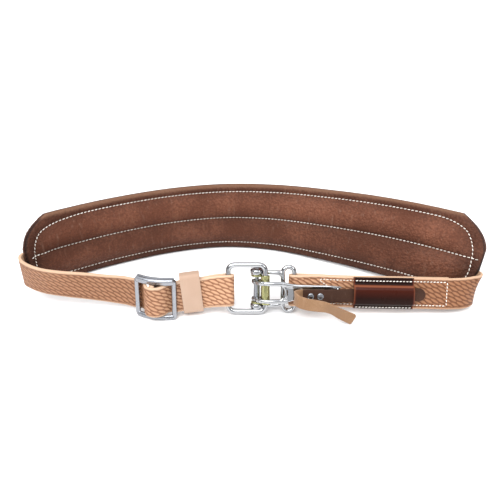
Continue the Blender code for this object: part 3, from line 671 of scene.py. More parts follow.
def pad_surface(line, side):
    """Places and normals of a seam on the cushion (side -1) or on the backing (side 1)."""
    s, v = line[:, 0], line[:, 1]
    left, right = bowed_ends(v)
    edge = np.minimum(s - left, PAD_LENGTH - right - s)
    depth = PAD_SEAM + BACKING_THICK + 0 * s
    if side < 0:
        depth = -PAD_SEAM - cushion_rise(s, v, edge)[0] - THREAD_PROUD
    here = on_pad(s, v, depth)
    return here, on_pad(s, v, depth + side) - here


for side, label in ((-1, "front"), (1, "back")):
    sew("pad_seam_round_" + label, *pad_surface(ROUND_SEAM, side))
    sew("pad_seam_middle_" + label, *pad_surface(MIDDLE_SEAM, side), slant=0.1)

# Belt strap
# One strap of thick natural leather, stamped in a slanting weave on its outer side, with
# a plain cream edge. Its end goes round the slide buckle's bar, it folds back through the
# ring, runs through the buckle and round the pad, and folds round the latch frame.

STRAP_WIDTH = 40.0
STRAP_THICK = 4.0
GAP = 0.3
SLIDE_AT, SLIDE_TIP, SLIDE_TURN = (-117.0, -95.0, 27.6), -7.5, -11.0
LATCH_AT, LATCH_TIP = (8.6, -79.5, 29.8), -20.0
STRAP_ON_PAD = (
    # x of the pad's line, height of the strap's middle there
    (-290.8, -11.5), (-287.2, -11.0), (-273.5, -10.0), (-238.0, -8.0), (-179.0, -5.0), (-111.0, -3.0),
    (-38.0, -1.0), (38.0, -1.0), (110.0, -3.0), (170.0, -8.0), (222.0, -16.0), (275.0, -26.0), (296.3, -31.0),
)
LEFT_RUN = (
    # x,     y,    z,   tip_x, tip_y
    (-158.0, -81.8, 29.0, 0.0, 5.0),
    (-178.0, -81.4, 31.6, 0.0, 0.0),
    (-208.0, -81.4, 35.6, 0.0, -3.0),
    (-238.0, -80.6, 38.4, 0.0, -6.0),
    (-260.0, -76.6, 39.5, 0.0, -6.0),
    (-276.0, -69.8, 40.0, 0.0, -5.0),
    (-287.0, -62.6, 40.2, 1.0, -4.0),
    (-293.6, -56.4, 40.3, 1.0, -2.0),
    (-296.4, -50.8, 40.4, 0.0, -1.0),
    (-296.7, -46.0, 40.4, -1.0, 0.0),
)
RIGHT_RUN = (
    # x,     y,    z,   tip_x, tip_y, front
    (286.2, -60.6, 26.2, 17.0, 20.0, 0.0),
    (289.6, -66.6, 25.7, 17.0, 18.0, 0.0),
    (287.6, -73.1, 25.4, 15.0, 18.0, 0.4),
    (280.0, -78.4, 25.4, 10.0, 19.0, 1.6),
    (269.0, -81.6, 25.6, 5.0, 20.0, 3.2),
    (254.0, -83.0, 26.1, 1.0, 20.0, 4.6),
    (224.0, -83.3, 26.9, 0.0, 20.0, 4.5),
    (184.0, -83.2, 27.8, 0.0, 20.0, 4.5),
    (130.0, -82.8, 28.8, 0.0, 20.0, 4.5),
    (108.0, -82.2, 29.2, 0.0, 20.0, 4.5),
    (88.0, -80.6, 29.5, 0.0, 20.0, 4.8),
)
BACK_PLY_END = (249.5, -83.1, 26.2, 0.7, 20.0)
KEEPER_RUN = (
    ((-84.0, -90.2, 27.7, 0.0, 8.5), 5.0),
    ((-72.0, -88.6, 28.5, 0.0, 9.3), 5.0),
    ((-60.0, -87.0, 29.4, 0.0, 10.6), 5.2),
    ((-44.0, -84.6, 30.6, 0.0, 17.0), 9.0),
)


def seat(at, tip, turn=0.0):
    turned = Euler((math.radians(tip), 0.0, math.radians(turn))).to_matrix().to_4x4()
    return Matrix.Translation(Vector(at)) @ turned


def seated(matrix, a, b, out):
    """A strap station in a seat: a along X, b up, out toward the front."""
    return matrix @ Vector((a, -out, b)), matrix.to_3x3() @ Vector((0, 0, 1))


def tipped(row):
    x, y, z, tip_x, tip_y = row[:5]
    up = Vector((math.tan(math.radians(tip_x)), math.tan(math.radians(tip_y)), 1.0))
    return Vector((x, y, z)), up.normalized()


def apart(station, distance):
    point, up = station
    return point + Vector((0, -up.z, up.y)).normalized() * distance, up


def round_turn(matrix, bar_at, radius, start, stop, steps=8):
    """A turn of the strap round a bar at (along, up, out), in degrees from the first side to the last."""
    a, b, out = bar_at
    turns = [math.radians(start + (stop - start) * k / steps) for k in range(steps + 1)]
    return [seated(matrix, a + radius * math.cos(t), b, out + radius * math.sin(t)) for t in turns]


SLIDE_BAR, SLIDE_BAR_OUT = 2.2, 5.0
SLIDE_REAR = 3.2
RING_BAR, RING_BAR_AT = 3.5, (-36.1, 0.0, 4.7)
FRAME_BAR, FRAME_BAR_AT = 3.0, (47.4, -1.0, 0.0)
PAD_CLEAR = 0.45


def strap_route():
    """The middle of the strap and its upright, from its hidden end to its sewn end."""
    slide, latch = seat(SLIDE_AT, SLIDE_TIP, SLIDE_TURN), seat(LATCH_AT, LATCH_TIP)
    half = STRAP_THICK / 2
    behind = -(SLIDE_REAR + GAP + half)
    loop_r = SLIDE_BAR + GAP + half
    over = SLIDE_BAR_OUT + loop_r + STRAP_THICK + 3 * GAP
    ply = STRAP_THICK + GAP
    path = round_turn(slide, (0.0, 0.0, SLIDE_BAR_OUT), loop_r, 75.0, 285.0)
    for a, out in ((11.5, -5.0), (18.5, behind - 4.7), (25.0, behind - ply - 5 * GAP)):
        path.append(seated(slide, a, 0.0, out))
    pairs = [(tipped(row), spread) for row, spread in KEEPER_RUN]
    path += [apart(station, -spread / 2) for station, spread in pairs]
    path += round_turn(latch, RING_BAR_AT, RING_BAR + GAP + half, -95.0, 95.0)
    path += [apart(station, spread / 2) for station, spread in reversed(pairs)]
    hump = ((24.5, behind - 2 * GAP), (20.6, behind - 0.4), (15.5, -2.0), (10.8, 7.4), (6.8, over - 2.0))
    hump += ((0.0, over), (-6.8, over - 2.0), (-10.8, 7.4), (-15.5, -2.0), (-20.6, behind - 0.4))
    hump += ((-24.5, behind),)
    path += [seated(slide, a, 0.0, out) for a, out in hump]
    path += [tipped(row) for row in LEFT_RUN]
    depth = PAD_SEAM + BACKING_THICK + PAD_CLEAR + half
    table_x = [row[0] for row in STRAP_ON_PAD]
    for f in np.linspace(6.0, PAD_LENGTH - 21.0, 40) / PAD_LENGTH:
        s = f * PAD_LENGTH
        x, size = np.interp(s, pad_at, pad_rows[:, 0]), np.interp(s, pad_at, pad_rows[:, 4])
        v = float(np.interp(x, table_x, [row[1] for row in STRAP_ON_PAD]) / size)
        s = float(pad_span(v, f)[0])
        here, higher = (on_pad(np.array(s), np.array(k), np.array(depth)) for k in (v, v + 5.0))
        path.append((Vector(here + ROW_ORIGIN), Vector(higher - here).normalized()))
    path += [apart(tipped(row), row[5]) for row in RIGHT_RUN]
    path += round_turn(latch, FRAME_BAR_AT, FRAME_BAR + GAP + half, -275.0, -85.0)
    path += [tipped(row) for row in reversed(RIGHT_RUN[6:])]
    path.append(tipped(BACK_PLY_END))
    return path


def along_route(path, step):
    """Places, uprights and outward directions along a route, in the row's millimetres."""
    rows = curve_through([(*p, *u) for p, u in path], step)
    points = rows[:, :3] - ROW_ORIGIN
    along = np.gradient(points, axis=0)
    along /= np.linalg.norm(along, axis=1)[:, None]
    up = rows[:, 3:] - along * (rows[:, 3:] * along).sum(axis=1)[:, None]
    up /= np.linalg.norm(up, axis=1)[:, None]
    return points, up, np.cross(along, up)


def leather_section(width, thick, rounding, across):
    """Points round a strap's section, from the middle of one edge over the grain side."""
    turns = np.radians(np.linspace(0, 90, 4))
    a, b = width / 2, thick / 2
    edge = [(-a + rounding * (1 - math.sin(t)), -b + rounding * (1 - math.cos(t))) for t in reversed(turns)]
    face = [(x, -b) for x in np.linspace(-a + rounding, a - rounding, across + 1)[1:-1]]
    half = [(-a, 0.0)] + edge + face + [(-x, y) for x, y in reversed(edge)] + [(a, 0.0)]
    other = [(-x, -y) for x, y in half[1:]]
    return np.array(half + other)


EDGE_WIDE = 2.0
EDGE_SOFT = 0.7


def run_strap(name, path, width, thick, step, across, rounding=1.1, taper=None):
    """A strip of leather led along a route. taper(distance, length) scales its width."""
    points, up, out = along_route(path, step)
    section = leather_section(width, thick, rounding, across)
    at = lengths(points)
    scale = np.ones(len(at)) if taper is None else taper(at, at[-1])

    def form(u, v):
        i = np.rint(u * (len(points) - 1)).astype(int)
        k = np.rint(v * (len(section) - 1)).astype(int)
        a = section[k, 0] * scale[i]
        return points[i] + up[i] * a[:, None] + out[i] * section[k, 1][:, None]

    piece = laid_out(name, len(points) - 1, len(section) - 1, form, (1.0, 1.0))
    # how far along and across, in metres, for the finish to follow
    corners, flat = corner_data(piece.data)
    flat = np.clip(flat / MM, 0, 1)
    i = np.rint(flat[:, 0] * (len(points) - 1)).astype(int)
    k = np.rint(flat[:, 1] * (len(section) - 1)).astype(int)
    uv = np.stack([at[i], section[k, 0] * scale[i]], axis=-1) * MM
    piece.data.uv_layers[0].data.foreach_set("uv", uv.ravel())
    grain = 1 - np.clip((np.abs(section[k, 0]) - (width / 2 - EDGE_WIDE)) / EDGE_SOFT, 0, 1)
    mark(piece, "grain_side", corners, np.where(section[k, 1] < -thick / 4, grain, 0.0))
    return piece


strap = run_strap("stamped_strap", strap_route(), STRAP_WIDTH, STRAP_THICK, 2.2, 16)
strap_corners, strap_uv = corner_data(strap.data)
strap_at, strap_up = np.zeros((2, len(strap.data.vertices)))
strap_at[strap_corners], strap_up[strap_corners] = strap_uv.T / MM
placed = np.empty(len(strap.data.vertices) * 3)
strap.data.vertices.foreach_get("co", placed)
strap_x, strap_y, strap_z = placed.reshape(-1, 3).T / MM
strap_up *= np.sign(np.corrcoef(strap_up, strap_z)[0, 1])

# how much darker the strap is painted, 0 for none: darker from 200 mm along its route onward, darker on the
# front of the right run and more so towards its right end, and painted shade along its bottom edge
STRAP_DARKER, STRAP_DARKER_FROM, STRAP_DARKER_OVER = 0.68, 200.0, 50.0
RIGHT_RUN_DARKER, RIGHT_RUN_DARKER_FROM, RIGHT_RUN_DARKER_OVER = 0.3, 90.0, 100.0
FOOT_PAINTED_SHADE, FOOT_SHADE_FROM, FOOT_SHADE_OVER = 0.8, -17.2, 2.0
RIGHT_PAST, FRONT_PAST = 30.0, -35.0
darker_and_foot_shade = STRAP_DARKER * np.clip((strap_at - STRAP_DARKER_FROM) / STRAP_DARKER_OVER, 0, 1)
to_right = np.clip((strap_x - RIGHT_RUN_DARKER_FROM) / RIGHT_RUN_DARKER_OVER, 0, 1)
front_right = (strap_x > RIGHT_PAST) & (strap_y < FRONT_PAST)
darker_and_foot_shade = np.where(front_right, RIGHT_RUN_DARKER + (1 - RIGHT_RUN_DARKER) * to_right, darker_and_foot_shade)
# painted shade along the strap's bottom edge
darker_and_foot_shade += FOOT_PAINTED_SHADE * np.clip((FOOT_SHADE_FROM - strap_up) / FOOT_SHADE_OVER, 0, 1)
mark(strap, "darker_and_foot_shade", slice(None), darker_and_foot_shade)
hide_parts("belt_strap")
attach(strap, "root")

STAMP_LONG = 0.0124
STAMP_WIDE = 0.0042
STAMP_TURN = math.radians(29.0)
STAMP_BORDER = 0.0176
STAMP_TOOTH = 0.0094
STAMP_TOOTH_DEEP = 0.0034
STAMP_LINE = 0.0007


def stamp_group():
    """Slanting stamped spindles in columns, each next column half overlapping the last."""
    group, given, gives = named_group(
        "slanting weave stamp", [("Place", "Vector")], [("Pressed", "Float"), ("Rib", "Float")])

    def step(operation, *values):
        return reckon(group, operation, *values)

    x, y, _ = put(group, "SeparateXYZ", {0: given["Place"]}).outputs
    wobble = put(group, "TexNoise", {"Vector": given["Place"], "Scale": 160.0})
    uneven = step("MULTIPLY_ADD", wobble.outputs["Fac"], 0.16, -0.08)
    cos, sin = math.cos(STAMP_TURN), math.sin(STAMP_TURN)
    long = step("ADD", step("MULTIPLY", x, cos), step("MULTIPLY", y, sin))
    wide = step("SUBTRACT", step("MULTIPLY", y, cos), step("MULTIPLY", x, sin))
    row = step("ADD", step("DIVIDE", wide, STAMP_WIDE), uneven)
    shifted = step("MULTIPLY", step("FLOOR", row), 0.5)
    along = step("FRACT", step("ADD", step("ADD", step("DIVIDE", long, STAMP_LONG), uneven), shifted))
    across = step("ABSOLUTE", step("SUBTRACT", step("FRACT", row), 0.5))
    full = step("POWER", step("MAXIMUM", step("SINE", step("MULTIPLY", along, math.pi)), 0.0), 0.62)
    off = step("DIVIDE", across, step("MAXIMUM", step("MULTIPLY", full, 0.52), 0.03))
    soft = put(group, "MapRange", {"Value": off, "From Min": 0.45, "From Max": 1.35},
               interpolation_type="SMOOTHSTEP")
    tooth = step("ABSOLUTE", step("SUBTRACT", step("FRACT", step("DIVIDE", x, STAMP_TOOTH)), 0.5))
    border = step("ADD", step("ABSOLUTE", y), step("MULTIPLY", tooth, STAMP_TOOTH_DEEP))
    off_line = step("DIVIDE", step("ABSOLUTE", step("SUBTRACT", border, STAMP_BORDER)), STAMP_LINE)
    line = step("SUBTRACT", 1.0, step("MINIMUM", off_line, 1.0))
    within = step("LESS_THAN", border, STAMP_BORDER)
    rib = step("MULTIPLY", step("SUBTRACT", 1.0, step("MINIMUM", off, 1.0)), within)
    pressed = step("MAXIMUM", step("MULTIPLY", soft.outputs[0], within), line)
    feed(group, gives, {"Pressed": pressed, "Rib": rib})
    return group


CREAM_EDGE = (0.63, 0.43, 0.295, 1.0)
# painted highlight on the middle of each raised stamped spindle
RIB_HIGHLIGHT = (0.585, 0.335, 0.200, 1.0)
PRESSED_IN = (0.255, 0.112, 0.056, 1.0)
DARKENED = (0.52, 0.42, 0.34, 1.0)
strap_skin, strap_tree, strap_shader, strap_hide, strap_bump = leather(
    "stamped_natural_hide", (0.405, 0.200, 0.108), (0.31, 0.147, 0.076), 700.0, 0.2, 0.7, 0.1, 0.5, 0.66, 0.9)
stamp = put(strap_tree, "Group", node_tree=stamp_group())
feed(strap_tree, stamp, {"Place": put(strap_tree, "UVMap").outputs[0]})
grain_side = named_value(strap_tree, "grain_side")
pressed = reckon(strap_tree, "MULTIPLY", stamp.outputs["Pressed"], grain_side)
# painted highlight: the middle of each stamped spindle is painted lighter
lit_ribs = reckon(strap_tree, "MULTIPLY", stamp.outputs["Rib"], grain_side)
edged = tinted(strap_tree, grain_side, CREAM_EDGE, strap_hide.outputs["Color"])
stamped = tinted(strap_tree, pressed, tinted(strap_tree, lit_ribs, edged, RIB_HIGHLIGHT), PRESSED_IN)
edge_less = put(strap_tree, "MapRange", {"Value": grain_side, "To Min": 0.45}).outputs[0]
# the darker runs and the painted shade along the bottom edge, less of it on the cut edges
darkened = reckon(strap_tree, "MULTIPLY", named_value(strap_tree, "darker_and_foot_shade"), edge_less)
strap_colour = tinted(strap_tree, darkened, stamped, DARKENED, "MULTIPLY")
feed(strap_tree, strap_shader, {"Base Color": strap_colour})
stamped_in = reckon(strap_tree, "MULTIPLY_ADD", pressed, -1.4, strap_hide.outputs["Height"])
feed(strap_tree, strap_bump, {"Height": stamped_in})
strap.data.materials.append(strap_skin)

# Strap stitching
# Where the end of the strap lies behind it on the right, both plies are sewn together:
# a row along the top and the bottom, a row down at the end and a short slanting start.


STRAP_PITCH = 4.2
STRAP_SEAM = 15.2
SEAM_FAR = 245.0


def on_front_strap(x, up_by, proud):
    """A place on the outer face of the right run."""
    rows = curve_through(RIGHT_RUN[3:], 3.0)
    order = np.argsort(rows[:, 0])
    row = [float(np.interp(x, rows[order, 0], rows[order, k])) for k in range(6)]
    point, up = tipped(row)
    toward = Vector((0, -up.z, up.y)).normalized()
    return point + toward * (row[5] + STRAP_THICK / 2 + proud) + up * up_by, toward


def sew_on_strap(name, line, proud=0.0, **rest):
    places = [on_front_strap(x, v, proud) for x, v in paced(line, STRAP_PITCH)]
    here = np.array([p[:] for p, _ in places]) - ROW_ORIGIN
    return sew(name, here, [n[:] for _, n in places], **rest)


sew_on_strap("strap_seam_top", [(82.0, STRAP_SEAM), (SEAM_FAR, STRAP_SEAM)])
sew_on_strap("strap_seam_bottom", [(100.0, -STRAP_SEAM), (SEAM_FAR, -STRAP_SEAM)])
sew_on_strap("strap_seam_end", [(SEAM_FAR + 1.5, STRAP_SEAM), (SEAM_FAR + 1.5, -STRAP_SEAM)])
sew_on_strap("strap_seam_start", [(84.0, STRAP_SEAM), (104.0, 2.5)])

# Strap keeper
# A plain band of natural leather, closed into a loop round both plies beside the buckle.

WELD = 0.00001
KEEPER_SHOULDER = 28.8
KEEPER_RAISED = 5.5


def copied(node, name, added=()):
    """A CAD node's form as a piece of its own, welded, with what is added joined to it."""
    piece = nodes[node].copy()
    piece.data = piece.data.copy()
    piece.name = name
    piece.parent = None
    piece.matrix_world = nodes[node].matrix_world
    for label in list(piece.keys()):
        del piece[label]
    bpy.context.scene.collection.objects.link(piece)
    bpy.ops.object.select_all(action="DESELECT")
    for one in (*added, piece):
        one.select_set(True)
    bpy.context.view_layer.objects.active = piece
    bpy.ops.object.transform_apply(location=True, rotation=True, scale=True)
    if added:
        bpy.ops.object.join()
    bpy.ops.object.mode_set(mode="EDIT")
    bpy.ops.mesh.select_all(action="SELECT")
    bpy.ops.mesh.remove_doubles(threshold=WELD)
    bpy.ops.object.mode_set(mode="OBJECT")
    piece.data.materials.clear()
    return piece


def modify(piece, name, kind, live=False, **settings):
    """A modifier with its settings, worked in at once or left live."""
    change = piece.modifiers.new(name, kind)
    for label, value in settings.items():
        setattr(change, label, value)
    if not live:
        bpy.ops.object.modifier_apply(modifier=name)


keeper = copied("strap_keeper", "keeper_band")
bpy.ops.object.mode_set(mode="EDIT")
bpy.ops.mesh.tris_convert_to_quads()
bpy.ops.object.mode_set(mode="OBJECT")
for corner in keeper.data.vertices:
    if corner.co.z > KEEPER_SHOULDER * MM:
        corner.co.z += KEEPER_RAISED * MM
modify(keeper, "worn edges", "BEVEL", width=0.0007, segments=3, limit_method="ANGLE")
bpy.ops.object.shade_smooth_by_angle(angle=math.radians(50))
keeper_skin, *_ = leather(
    "plain_natural_hide", (0.45, 0.315, 0.235), (0.385, 0.255, 0.18), 800.0, 0.12, 0.5, 0.05, 0.45, 0.6, 0.35)
keeper.data.materials.append(keeper_skin)
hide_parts("strap_keeper")
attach(keeper, "root")

# Slide buckle and pin
# Cast steel, nickel plated to a satin shine, with edges rounded by tumbling.


def plated(name, colour, rough_low, rough_high, scratches, streak):
    """Plated metal: cloudy polish and hair-fine scratches."""
    made, tree, shader = new_skin(name)
    place = put(tree, "TexCoord").outputs["Object"]
    cloud = put(tree, "TexNoise", {"Vector": place, "Scale": 90.0, "Detail": 4.0})
    rough = put(tree, "MapRange", {"Value": cloud.outputs["Fac"], "From Min": 0.3, "From Max": 0.7,
                                   "To Min": rough_low, "To Max": rough_high})
    stretch = put(tree, "Mapping", {"Vector": place, "Scale": streak})
    hair = put(tree, "TexNoise", {"Vector": stretch.outputs[0], "Scale": 1.0, "Detail": 2.0})
    bump = put(tree, "Bump", {"Strength": scratches, "Distance": 0.0002, "Height": hair.outputs["Fac"]})
    feed(tree, shader, {"Base Color": (*colour, 1.0), "Metallic": 1.0, "Roughness": rough.outputs[0],
                        "Normal": bump.outputs[0]})
    return made


nickel = plated("satin_nickel", (0.32, 0.33, 0.355), 0.22, 0.36, 0.12, (900.0, 90.0, 900.0))
chrome = plated("bright_chrome", (0.42, 0.425, 0.435), 0.06, 0.16, 0.05, (700.0, 120.0, 500.0))
zinc = plated("yellow_zinc", (0.39, 0.38, 0.18), 0.16, 0.32, 0.12, (300.0, 90.0, 300.0))


def dress(node, skin, rounding):
    """A CAD node keeps its shape, with its sharp edges worn round."""
    part = nodes[node]
    part.data.materials.clear()
    part.data.materials.append(skin)
    modify(part, "weld", "WELD", True, merge_threshold=WELD)
    modify(part, "worn edges", "BEVEL", True, width=rounding, segments=2, limit_method="ANGLE",
           angle_limit=math.radians(38), harden_normals=False)


dress("hinge_pin", nickel, 0.0003)


def bar(name, line, seat_at):
    """A round bar led along (along, up, out, radius) rows in a seat, with full ends."""
    rows = np.array(line, dtype=float)
    spots = np.array([seated(seat_at, *row[:3])[0][:] for row in rows]) - ROW_ORIGIN
    dense = curve_through(np.concatenate([spots, rows[:, 3:]], axis=1), 1.0)
    run = np.gradient(dense[:, :3], axis=0)
    run /= np.linalg.norm(run, axis=1)[:, None]
    level = np.array((seat_at.to_3x3() @ Vector((0, 1, 0)))[:])
    side = np.cross(run, level)
    steep = np.linalg.norm(side, axis=1) < 0.05
    side[steep] = np.array((seat_at.to_3x3() @ Vector((1, 0, 0)))[:])
    side /= np.linalg.norm(side, axis=1)[:, None]
    lift = np.cross(side, run)

    def form(u, v):
        i = np.rint(u * (len(dense) - 1)).astype(int)
        turn = (2 * np.pi * v)[:, None]
        return dense[i, :3] + dense[i, 3:] * (side[i] * np.cos(turn) + lift[i] * np.sin(turn))

    return laid_out(name, len(dense) - 1, 12, form, (1.0, 1.0))


VOXEL = 0.0005


def forged(node, name, added, skin, passes):
    """A copy of a CAD node with more metal on it, its corners run together as in a forging."""
    piece = copied(node, name, added)
    modify(piece, "melt", "REMESH", mode="VOXEL", voxel_size=VOXEL)
    modify(piece, "rub", "SMOOTH", factor=0.5, iterations=passes)
    bpy.ops.object.shade_smooth()
    piece.data.materials.append(skin)
    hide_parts(node)
    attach(piece, "root")
    return piece


BUCKLE_CROWN = 5.0
BUCKLE_HALF = 24.4
slide_seat = seat(SLIDE_AT, SLIDE_TIP, SLIDE_TURN)


def cross_bar(name, half, level, out, thick):
    """A bar along the buckle's top or bottom, bowed out in the middle."""
    line = [(a, level, BUCKLE_CROWN * (1 - (a / BUCKLE_HALF) ** 2) + out, thick)
            for a in (-half, -12.0, 0.0, 12.0, half)]
    return bar(name, line, slide_seat)


wider = []
for side in (-1, 1):
    for away, thick in ((24.2, 2.6), (22.9, 2.3)):
        wider.append(bar("side", [(side * away, b, 0.9, thick) for b in (-24.0, 0.0, 24.0)], slide_seat))
    for away, thick, proud in ((25.0, 2.7, 0.9), (23.4, 2.5, 0.6), (24.6, 2.6, -1.2)):
        wider.append(cross_bar("end", 23.0, side * away, proud, thick))
for away, out, thick in ((26.2, -1.8, 3.0), (25.8, 2.0, 3.0), (22.8, 1.4, 2.8)):
    wider.append(cross_bar("top", 23.4, away, out, thick))
forged("slide_buckle", "nickel_slide", wider, nickel, 5)

# Latch
# Ring, frame and lever are forged steel with bright chrome plate. The gate over the
# ring's side is pressed sheet with a yellow zinc finish.

latch_seat = seat(LATCH_AT, LATCH_TIP)
LEVER_OUT = 12.4
PIN_OUT = -2.0


def eye_rim(name, level, radius, thick):
    """A full round rim for an eye on the pin."""
    turns = np.radians(np.linspace(0, 360, 17))
    line = [(radius * math.cos(t), level, PIN_OUT + radius * math.sin(t), thick) for t in turns]
    return bar(name, line, latch_seat)


rib = (
    # along, up, out, radius
    (2.5, 9.7, 9.5, 2.6),
    (13.0, 9.7, 13.6, 3.0),
    (31.0, 9.0, LEVER_OUT + 0.2, 3.0),
    (44.0, 7.0, LEVER_OUT, 2.6),
    (70.0, 6.2, LEVER_OUT - 0.3, 1.8),
    (98.0, 5.4, LEVER_OUT - 0.5, 1.3),
    (105.0, 4.6, LEVER_OUT - 0.7, 0.9),
)
low_arm = (
    (2.5, -13.0, 9.5, 2.5),
    (13.0, -13.0, 13.5, 2.8),
    (30.0, -13.2, LEVER_OUT + 0.2, 2.9),
    (39.0, -13.6, LEVER_OUT, 2.2),
)
turns = np.radians(np.linspace(100, -100, 9))
bow = [(27.0 + 9.4 * math.cos(t), -1.75 + 10.4 * math.sin(t), LEVER_OUT + 0.3, 2.0) for t in turns]
lever_lines = (("rib", rib), ("low_arm", low_arm), ("bow", bow))
lever_parts = [bar(name, line, latch_seat) for name, line in lever_lines]
lever_parts += [eye_rim("eye_rim", level, 4.6, 2.7) for level in (9.5, -13.0)]
forged("latch_lever", "chrome_lever", lever_parts, chrome, 5)

frame_parts = []
for side in (-1, 1):
    arm = [(5.0, side * 21.8, -1.0, 2.9), (18.0, side * 21.6, 0.3, 3.0), (27.0, side * 20.9, 0.2, 3.3),
           (31.5, side * 18.6, 0.0, 3.1), (33.0, side * 14.5, 0.0, 3.0)]
    frame_parts.append(bar("arm", arm, latch_seat))
    frame_parts += [eye_rim("eye_rim", side * level, 5.8, 3.1) for level in (23.0, 21.2)]
forged("latch_frame", "chrome_frame", frame_parts, chrome, 5)
forged("latch_ring", "chrome_ring", [], chrome, 4)
forged("latch_gate", "zinc_gate", [], zinc, 2)
for node in ("rivet_1", "rivet_2"):
    dress(node, nickel, 0.0003)

# Lever strip
# A strap of very dark leather with fine ribs pressed across it, riveted to the lever and
# slipped through the sleeve; its far end is cut round.

STRIP_MID = -5.0
STRIP_TILT = 0.004
LEVER_FRONT = 10.6 + 2.6
LEATHER_APART = 0.45
STRIP_WIDE = 16.5
STRIP_THICK = 2.8
TAB_THICK = 1.6
tab_mid = LEVER_FRONT + LEATHER_APART + TAB_THICK / 2
strip_mid = tab_mid + TAB_THICK / 2 + LEATHER_APART + STRIP_THICK / 2
STRIP_LINE = ((57.0, 0.0), (68.0, 0.0), (86.0, 0.0), (96.0, -1.2), (107.0, -1.9), (117.0, -3.2),
              (127.0, -4.2), (150.0, -4.8), (180.0, -5.0), (196.0, -5.0), (210.0, -4.8))


def round_end(at, length):
    """Full width, then a half circle to the far end."""
    left = np.clip((length - at) / (STRIP_WIDE / 2), 0, 1)
    return np.maximum(np.sqrt(1 - (1 - left) ** 2), 0.12)


strip_path = [seated(latch_seat, a, STRIP_MID + STRIP_TILT * (a - STRIP_LINE[0][0]), strip_mid + out)
              for a, out in STRIP_LINE]
strip = run_strap("ribbed_strip", strip_path, STRIP_WIDE, STRIP_THICK, 1.2, 10, 0.7, round_end)
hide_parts("lever_strip")
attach(strip, "root")
strip_skin, strip_tree, strip_shader, strip_hide, strip_bump = leather(
    "dark_ribbed_hide", (0.060, 0.025, 0.014), (0.032, 0.013, 0.008), 600.0, 0.3, 0.5, 0.1, 0.5, 0.7, 0.8)
ribs = put(strip_tree, "TexWave", {"Scale": 260.0, "Distortion": 0.6}, bands_direction="X")
feed(strip_tree, ribs, {"Vector": put(strip_tree, "UVMap").outputs[0]})
ribbed = reckon(strip_tree, "MULTIPLY_ADD", ribs.outputs["Fac"], 0.7, strip_hide.outputs["Height"])
feed(strip_tree, strip_bump, {"Height": ribbed})
feed(strip_tree, strip_shader, {"Specular IOR Level": 0.2})
strip.data.materials.append(strip_skin)

# Pull tab
# A limp strip of tan suede, caught under the strip by the rivets. It loops round in
# front of the lever, twists and hangs down to the right.

TAB_RUN = (
    (55.6, -99.5, 30.9, 0.0, 18.0),
    (58.5, -105.2, 29.6, 0.0, 14.0),
    (68.0, -108.6, 27.2, 0.0, 12.0),
    (80.0, -110.0, 25.6, 0.0, 10.0),
    (91.0, -111.0, 24.2, 0.0, 0.0),
    (101.0, -112.4, 21.0, 0.0, -12.0),
    (112.0, -113.8, 15.6, 10.0, -4.0),
    (127.5, -115.8, 8.4, 10.0, 4.0),
)


TAB_WIDE = 15.5
TAB_CORNER = 3.5
TAB_END = 0.72


def soft_corners(at, length):
    """Full width, with the corners of the free end cut round."""
    left = np.clip((length - at) / TAB_CORNER, 0, 1)
    return TAB_END + (1 - TAB_END) * np.sqrt(1 - (1 - left) ** 2)


tab_path = [seated(latch_seat, a, STRIP_MID, tab_mid) for a in (84.0, 74.0, 62.0, 54.0)]
tab_path += [tipped(row) for row in TAB_RUN]
tab = run_strap("suede_tab", tab_path, TAB_WIDE, TAB_THICK, 1.0, 10, 0.5, soft_corners)
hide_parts("pull_tab")
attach(tab, "root")
tab_skin, tab_tree, tab_shader, _, _ = leather(
    "tan_suede", (0.37, 0.225, 0.125), (0.23, 0.125, 0.062), 900.0, 0.5, 1.0, 0.1, 0.85, 0.98, 1.0)
feed(tab_tree, tab_shader, {"Sheen Weight": 0.25})
tab.data.materials.append(tab_skin)

# Sleeve
# A tunnel of glossy waxed burgundy leather over the strip, its two flanges sewn down
# through the strap with white thread.

SLEEVE_FROM, SLEEVE_TO = 129.0, 204.0
SLEEVE_LOW = STRAP_THICK / 2 + 0.3
SLEEVE_OUTER = (
    # up the strap, out from it
    (-20.0, 0.0), (-20.0, 1.6), (-19.4, 2.0), (-17.0, 2.0), (-15.9, 2.3), (-14.6, 5.4), (-12.4, 7.9),
    (-8.0, 8.7), (-3.0, 8.9), (2.0, 8.8), (6.0, 8.4), (9.2, 6.2), (10.6, 3.2), (11.6, 2.1), (13.0, 2.0),
    (19.4, 2.0), (20.0, 1.6), (20.0, 0.0),
)
SLEEVE_INNER = (
    (9.3, 0.0), (8.6, 2.6), (7.6, 4.8), (4.9, 6.5), (-3.0, 6.9), (-11.2, 6.1), (-12.8, 4.2), (-14.2, 0.0),
)
TUNNEL_OUT = 4.0


def sleeve_seat(x):
    """A place on the strap under the sleeve, a millimetre up the strap from it and one out."""
    low, toward = on_front_strap(x, 0.0, SLEEVE_LOW - STRAP_THICK / 2)
    high, _ = on_front_strap(x, 1.0, SLEEVE_LOW - STRAP_THICK / 2)
    return np.array(low), np.array(high - low), np.array(toward)


def sleeve_form(u, v):
    section = np.array(SLEEVE_OUTER + SLEEVE_INNER + SLEEVE_OUTER[:1])
    at = lengths(section)
    a, b = (np.interp(v * at[-1], at, section[:, k]) for k in (0, 1))
    places, which = np.unique(np.round(u, 6), return_inverse=True)
    seats = [sleeve_seat(SLEEVE_FROM + place * (SLEEVE_TO - SLEEVE_FROM)) for place in places]
    low, up, toward = (np.array(rows)[which] for rows in zip(*seats))
    swell = 0.35 * np.sin(np.pi * places[which]) + 0.12 * np.sin(places[which] * 9.0)
    out = b + np.where(b > TUNNEL_OUT, swell, 0.0)
    return low + up * a[:, None] + toward * out[:, None] - ROW_ORIGIN


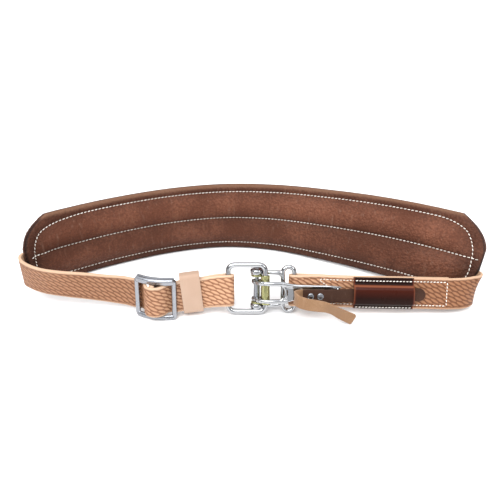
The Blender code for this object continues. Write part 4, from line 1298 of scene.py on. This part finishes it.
sleeve = laid_out("burgundy_sleeve", 30, 70, sleeve_form, (75.0, 110.0))
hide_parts("lever_sleeve")
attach(sleeve, "root")
sleeve_skin, sleeve_tree, sleeve_shader, sleeve_hide, _ = leather(
    "waxed_burgundy_hide", (0.034, 0.007, 0.004), (0.018, 0.004, 0.003),
    500.0, 0.15, 0.7, 0.03, 0.24, 0.4, 0.3)
# painted light and shade: the sleeve runs from near black where the mark is 0, a painted shade on its flanges
# and lower body, to orange brown on a painted highlight along its upper ridge and face; its two mouths are
# painted lighter too
bright = ramp(sleeve_tree, named_value(sleeve_tree, "highlight_and_mouths"),
              ((0.0, 0.007, 0.002, 0.001), (0.45, 0.055, 0.010, 0.005), (1.0, 0.24, 0.075, 0.036)))
feed(sleeve_tree, sleeve_shader, {
    "Base Color": tinted(sleeve_tree, 0.75, sleeve_hide.outputs["Color"], bright),
    "Coat Weight": 0.06, "Coat Roughness": 0.15, "Specular IOR Level": 0.07})

# where the painted highlight lies: a band along the upper ridge and a glow rising up the face, with the two
# mouths lighter
RIDGE_UP = 9.6
RIDGE_WIDE = 1.7
RIDGE_OUT = 3.5
FACE_HIGHLIGHT = 0.42
FACE_FROM = -6.0
FACE_OVER = 13.0
MOUTH_LIGHTER = 0.9
# rub holds the painted highlight and the lighter mouths
rub = np.zeros(len(sleeve.data.vertices))
for k, corner in enumerate(sleeve.data.vertices):
    place = np.array(corner.co) / MM + ROW_ORIGIN
    low, up, toward = sleeve_seat(place[0])
    up_by, proud = (place - low) @ up, (place - low) @ toward
    ridge = math.exp(-(((up_by - RIDGE_UP) / RIDGE_WIDE) ** 2))
    face = FACE_HIGHLIGHT * min(max((up_by - FACE_FROM) / FACE_OVER, 0.0), 1.0)
    rub[k] = max(ridge, face) * (proud > RIDGE_OUT)
    if min(place[0] - SLEEVE_FROM, SLEEVE_TO - place[0]) < 1.0 and proud > 1.0:
        rub[k] = MOUTH_LIGHTER
mark(sleeve, "highlight_and_mouths", slice(None), rub)
sleeve.data.materials.append(sleeve_skin)
FLANGE_OUT = 2.3
for name, up_by in (("sleeve_seam_top", 15.6), ("sleeve_seam_bottom", -18.2)):
    sew_on_strap(name, [(SLEEVE_FROM + 2.0, up_by), (SLEEVE_TO - 2.0, up_by)], FLANGE_OUT)

bpy.context.view_layer.update()
low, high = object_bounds()
